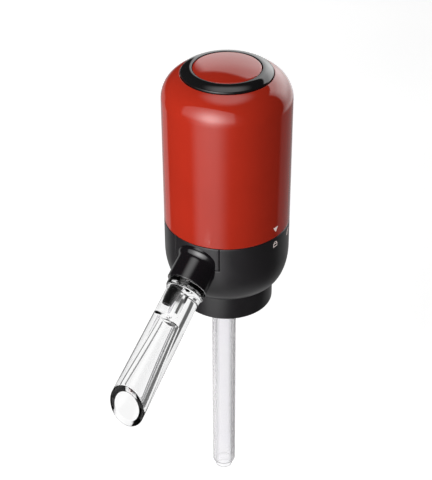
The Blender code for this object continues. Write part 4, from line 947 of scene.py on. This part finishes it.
# %% [markdown]
# ## A world painted by direction
# In a studio, white cards and softboxes stand round the set, and gloss shows them as crisp light
# shapes. Here they are painted into the world, with nodes that do sums on the ray's direction. A
# ramp eases from one level to another, and a band is 1 between two angles. The bearing is
# measured from -Y, behind from +Y, and height from the horizon.

# %% World helpers
world = bpy.data.worlds.new("studio")
bpy.context.scene.world = world
world.use_nodes = True
tree = world.node_tree
tree.nodes.clear()
direction = tree.nodes.new("ShaderNodeTexCoord").outputs["Generated"]
axes = tree.nodes.new("ShaderNodeSeparateXYZ")
tree.links.new(direction, axes.inputs[0])


def feed(socket, value):
    """Sets the socket to a number, or links another node's output to it."""
    if isinstance(value, (int, float)):
        socket.default_value = value
    else:
        tree.links.new(value, socket)


def calc(operation, *values):
    """Math node of the values, in the tree that is being built."""
    node = tree.nodes.new("ShaderNodeMath")
    node.operation = operation
    for socket, value in zip(node.inputs, values):
        feed(socket, value)
    return node.outputs[0]


def times(first, *others):
    """Product of all the values."""
    for other in others:
        first = calc("MULTIPLY", first, other)
    return first


def plus(first, *others):
    """Sum of all the values."""
    for other in others:
        first = calc("ADD", first, other)
    return first


def ramp(value, start, stop, low=0.0, high=1.0):
    """Smooth step from low at start to high at stop."""
    node = tree.nodes.new("ShaderNodeMapRange")
    node.interpolation_type = "SMOOTHSTEP"
    for socket, given in zip(node.inputs, (value, start, stop, low, high)):
        feed(socket, given)
    return node.outputs["Result"]


def band(value, low, high, soft_low, soft_high):
    """1 between low and high, easing to 0 over soft_low below and soft_high above."""
    return times(ramp(value, low - soft_low, low), ramp(value, high, high + soft_high, 1, 0))


def spot(value, centre, width):
    """Square of the distance from the centre, in widths."""
    return calc("POWER", calc("DIVIDE", calc("SUBTRACT", value, centre), width), 2)


x, y, z = axes.outputs
in_degrees = 180 / pi
bearing = times(calc("ARCTAN2", x, times(y, -1)), in_degrees)
behind = times(calc("ARCTAN2", times(x, -1), y), in_degrees)
height = times(calc("ARCSINE", z), in_degrees)
print("world nodes for the three angles:", len(tree.nodes))

# %% [markdown]
# ## What gloss mirrors
# Each card was found by following the camera's ray off the surface where the photograph shows a
# light shape, and reading the direction it leaves in. The backdrop's wall shines in the button and
# the ring, the softbox and its glow make the window on the shoulder and the long streak on the
# side, and the table under the product lights the lower curves.

# %% Cards for gloss
wall_light, wall_middle, glow_light, base_light = 4.3, 0.5, 9.5, 0.025
top_edge = ramp(behind, 15, 41, 42, 33)
wall_card = times(
    band(behind, -40, 37, 4, 4),
    ramp(calc("SUBTRACT", height, top_edge), -2, 0.5, 1, 0),
    ramp(height, -28, -20),
    ramp(height, -14, 14, 0.33, 1),
    ramp(height, 24, 34, 1, 0.75),
    ramp(behind, -43, -26, 1.7, wall_light),
    ramp(behind, 7, 30, 1, wall_middle),
)
table = times(
    band(behind, -36, 78, 10, 6), ramp(height, -12, -3, 1, 0), ramp(behind, -40, 40, 0.2, 0.5)
)
slant_x, slant_y = -0.114, 2.867
edge_line = plus(z, times(x, slant_x), times(y, slant_y))
in_front = ramp(edge_line, -1.30, -1.22, 1, 0)
softbox = times(band(bearing, -46, 40, 8, 6), in_front, ramp(height, -14, 4, 0, 1.3))
falloff = calc("EXPONENT", times(plus(spot(bearing, 3, 24), spot(height, 8, 24)), -1))
glow = times(falloff, glow_light, in_front)
stripe = times(
    band(bearing, -18, 8, 22, 30), ramp(height, -8, -26, 0, 1.15), ramp(height, -60, -45)
)
ceiling = ramp(height, 58, 80, 0, 2.4)
ground = ramp(height, -45, -70, 0, 0.6)
seen_in_gloss = plus(base_light, wall_card, table, softbox, glow, stripe, ceiling, ground)
print("world nodes with the cards for gloss:", len(tree.nodes))

# %% [markdown]
# ## What clear plastic shows
# A clear tube on white is drawn by what it bends into view. Seen straight through, it shows the
# white backdrop. Its flanks gather light from far to the side, where a studio keeps dark cards, and
# the grey wedge along the spout's right side is one of these. The cards are placed by the angle to
# the spout's axis and by the turn round that axis.

# %% Cards for clear plastic
def towards(vector):
    """Cosine of the angle between the view and a vector."""
    length = sqrt(sum(c * c for c in vector))
    return plus(*(times(axis, c / length) for axis, c in zip((x, y, z), vector)))


card_depth = 0.87
along = towards((0, -0.866, -0.5))
turned_right, turned_ahead = towards((0.86, 0.255, -0.44)), towards((-0.445, 0.448, -0.775))
turned_by = times(calc("ARCTAN2", turned_right, turned_ahead), in_degrees)
lower = ramp(turned_by, 17, 26, -0.22, -0.60)
right_card = times(
    band(turned_by, 16, 64, 8, 8), ramp(calc("SUBTRACT", along, lower), -0.02, 0.02),
    ramp(along, -0.31, -0.27, 1, 0),
)
far_card = times(band(turned_by, 66, 92, 6, 6), band(along, -0.34, -0.2, 0.03, 0.05))
left_card = times(band(turned_by, -34, -23, 4, 4), band(along, -0.38, -0.2, 0.04, 0.05))
cards = calc("MAXIMUM", right_card, calc("MAXIMUM", far_card, left_card))
above_set = ramp(z, 0.4, 0.8, 1.25, 0.15)
seen_through = times(calc("SUBTRACT", 1, times(cards, card_depth)), above_set)
print("world nodes with the cards for clear plastic:", len(tree.nodes))

# %% [markdown]
# ## One sky for each kind of ray
# Light Path tells what kind of ray asks for the sky. The camera sees plain white, gloss and clear
# plastic see their own cards, and all other rays get a soft even light, which fills the shadows.
# So the background stays white without any more light falling on the object.

# %% World
rays = tree.nodes.new("ShaderNodeLightPath").outputs
fill_light, white = 0.37, 1.0


def light(strength):
    """White light of this strength."""
    node = tree.nodes.new("ShaderNodeBackground")
    feed(node.inputs["Strength"], strength)
    return node.outputs[0]


def choose(kind, other, chosen):
    """The chosen light for rays of this kind, and the other light for the rest."""
    node = tree.nodes.new("ShaderNodeMixShader")
    for socket, value in zip(node.inputs, (rays[kind], other, chosen)):
        feed(socket, value)
    return node.outputs[0]


sky = choose("Is Glossy Ray", light(fill_light), light(seen_in_gloss))
sky = choose("Is Transmission Ray", sky, light(seen_through))
sky = choose("Is Camera Ray", sky, light(white))
output = tree.nodes.new("ShaderNodeOutputWorld")
tree.links.new(sky, output.inputs["Surface"])
print("world nodes:", len(tree.nodes))

# %% [markdown]
# ## Lamps
# Three large soft lamps give the object its shape: the key at the front left, a weaker one behind
# it on the left, and a faint one above. Gloss and clear plastic don't see them, because their
# light shapes are painted in the world already.

# %% Lamps
aim = Vector((0, 0, 0.05))


def lamp(name, bearing, elevation, distance, size, power):
    """Square area lamp that faces the middle of the body from a bearing measured from -Y."""
    data = bpy.data.lights.new(name, "AREA")
    data.size, data.energy = size, power
    obj = add_object(name, data)
    b, e = radians(bearing), radians(elevation)
    away = Vector((sin(b) * cos(e), -cos(b) * cos(e), sin(e)))
    facing = away.to_track_quat("Z", "Y").to_matrix().to_4x4()
    obj.matrix_world = Matrix.Translation(aim + away * distance) @ facing
    obj.visible_glossy = False
    obj.visible_transmission = False


lamp("key", -14, 22, 1.1, 0.7, 8.9)
lamp("back_left", -130, 25, 1.2, 0.8, 2.5)
lamp("top", 20, 80, 1.1, 0.8, 0.5)
print("lamps:", ", ".join(bpy.data.lights.keys()))

# %% [markdown]
# ## Floor
# A wide sheet of pale paper lies below the tube's end. Its own colour is just off white, and a
# little emission that only the camera sees lifts it to white without lighting the object, so the
# soft shadow stays on it.

# %% Floor
sheet_z, span, sheet_count, white_share = -0.24, 2.5, 9, 0.5
sheet = nodes_of("floor_paper")
paper, tree, shader, where = sheet
tint(sheet, 6, (0.88, 0.88, 0.88), (0.92, 0.92, 0.92))
set_inputs(shader, {"Roughness": 0.9, "Specular IOR Level": 0.1, "Emission Color": (1, 1, 1, 1)})
rays = tree.nodes.new("ShaderNodeLightPath").outputs
tree.links.new(times(rays["Is Camera Ray"], white_share), shader.inputs["Emission Strength"])

steps = np.linspace(-span, span, sheet_count)
gx, gy = np.meshgrid(steps, steps, indexing="ij")
points = np.stack([gx, gy, 0 * gx + sheet_z], -1).reshape(-1, 3)
quads = grid_quads(sheet_count, sheet_count, False, False).reshape(-1, 4)
floor = make_mesh("floor", points, quads, paper)
floor.visible_glossy = False
floor.visible_transmission = False
print("floor", 2 * span, "m wide at z =", sheet_z, "m")

# %% [markdown]
# ## View and finish
# The Standard view keeps colours as they were set, without a film look.

# %% View and finish
bpy.context.scene.view_settings.view_transform = "Standard"
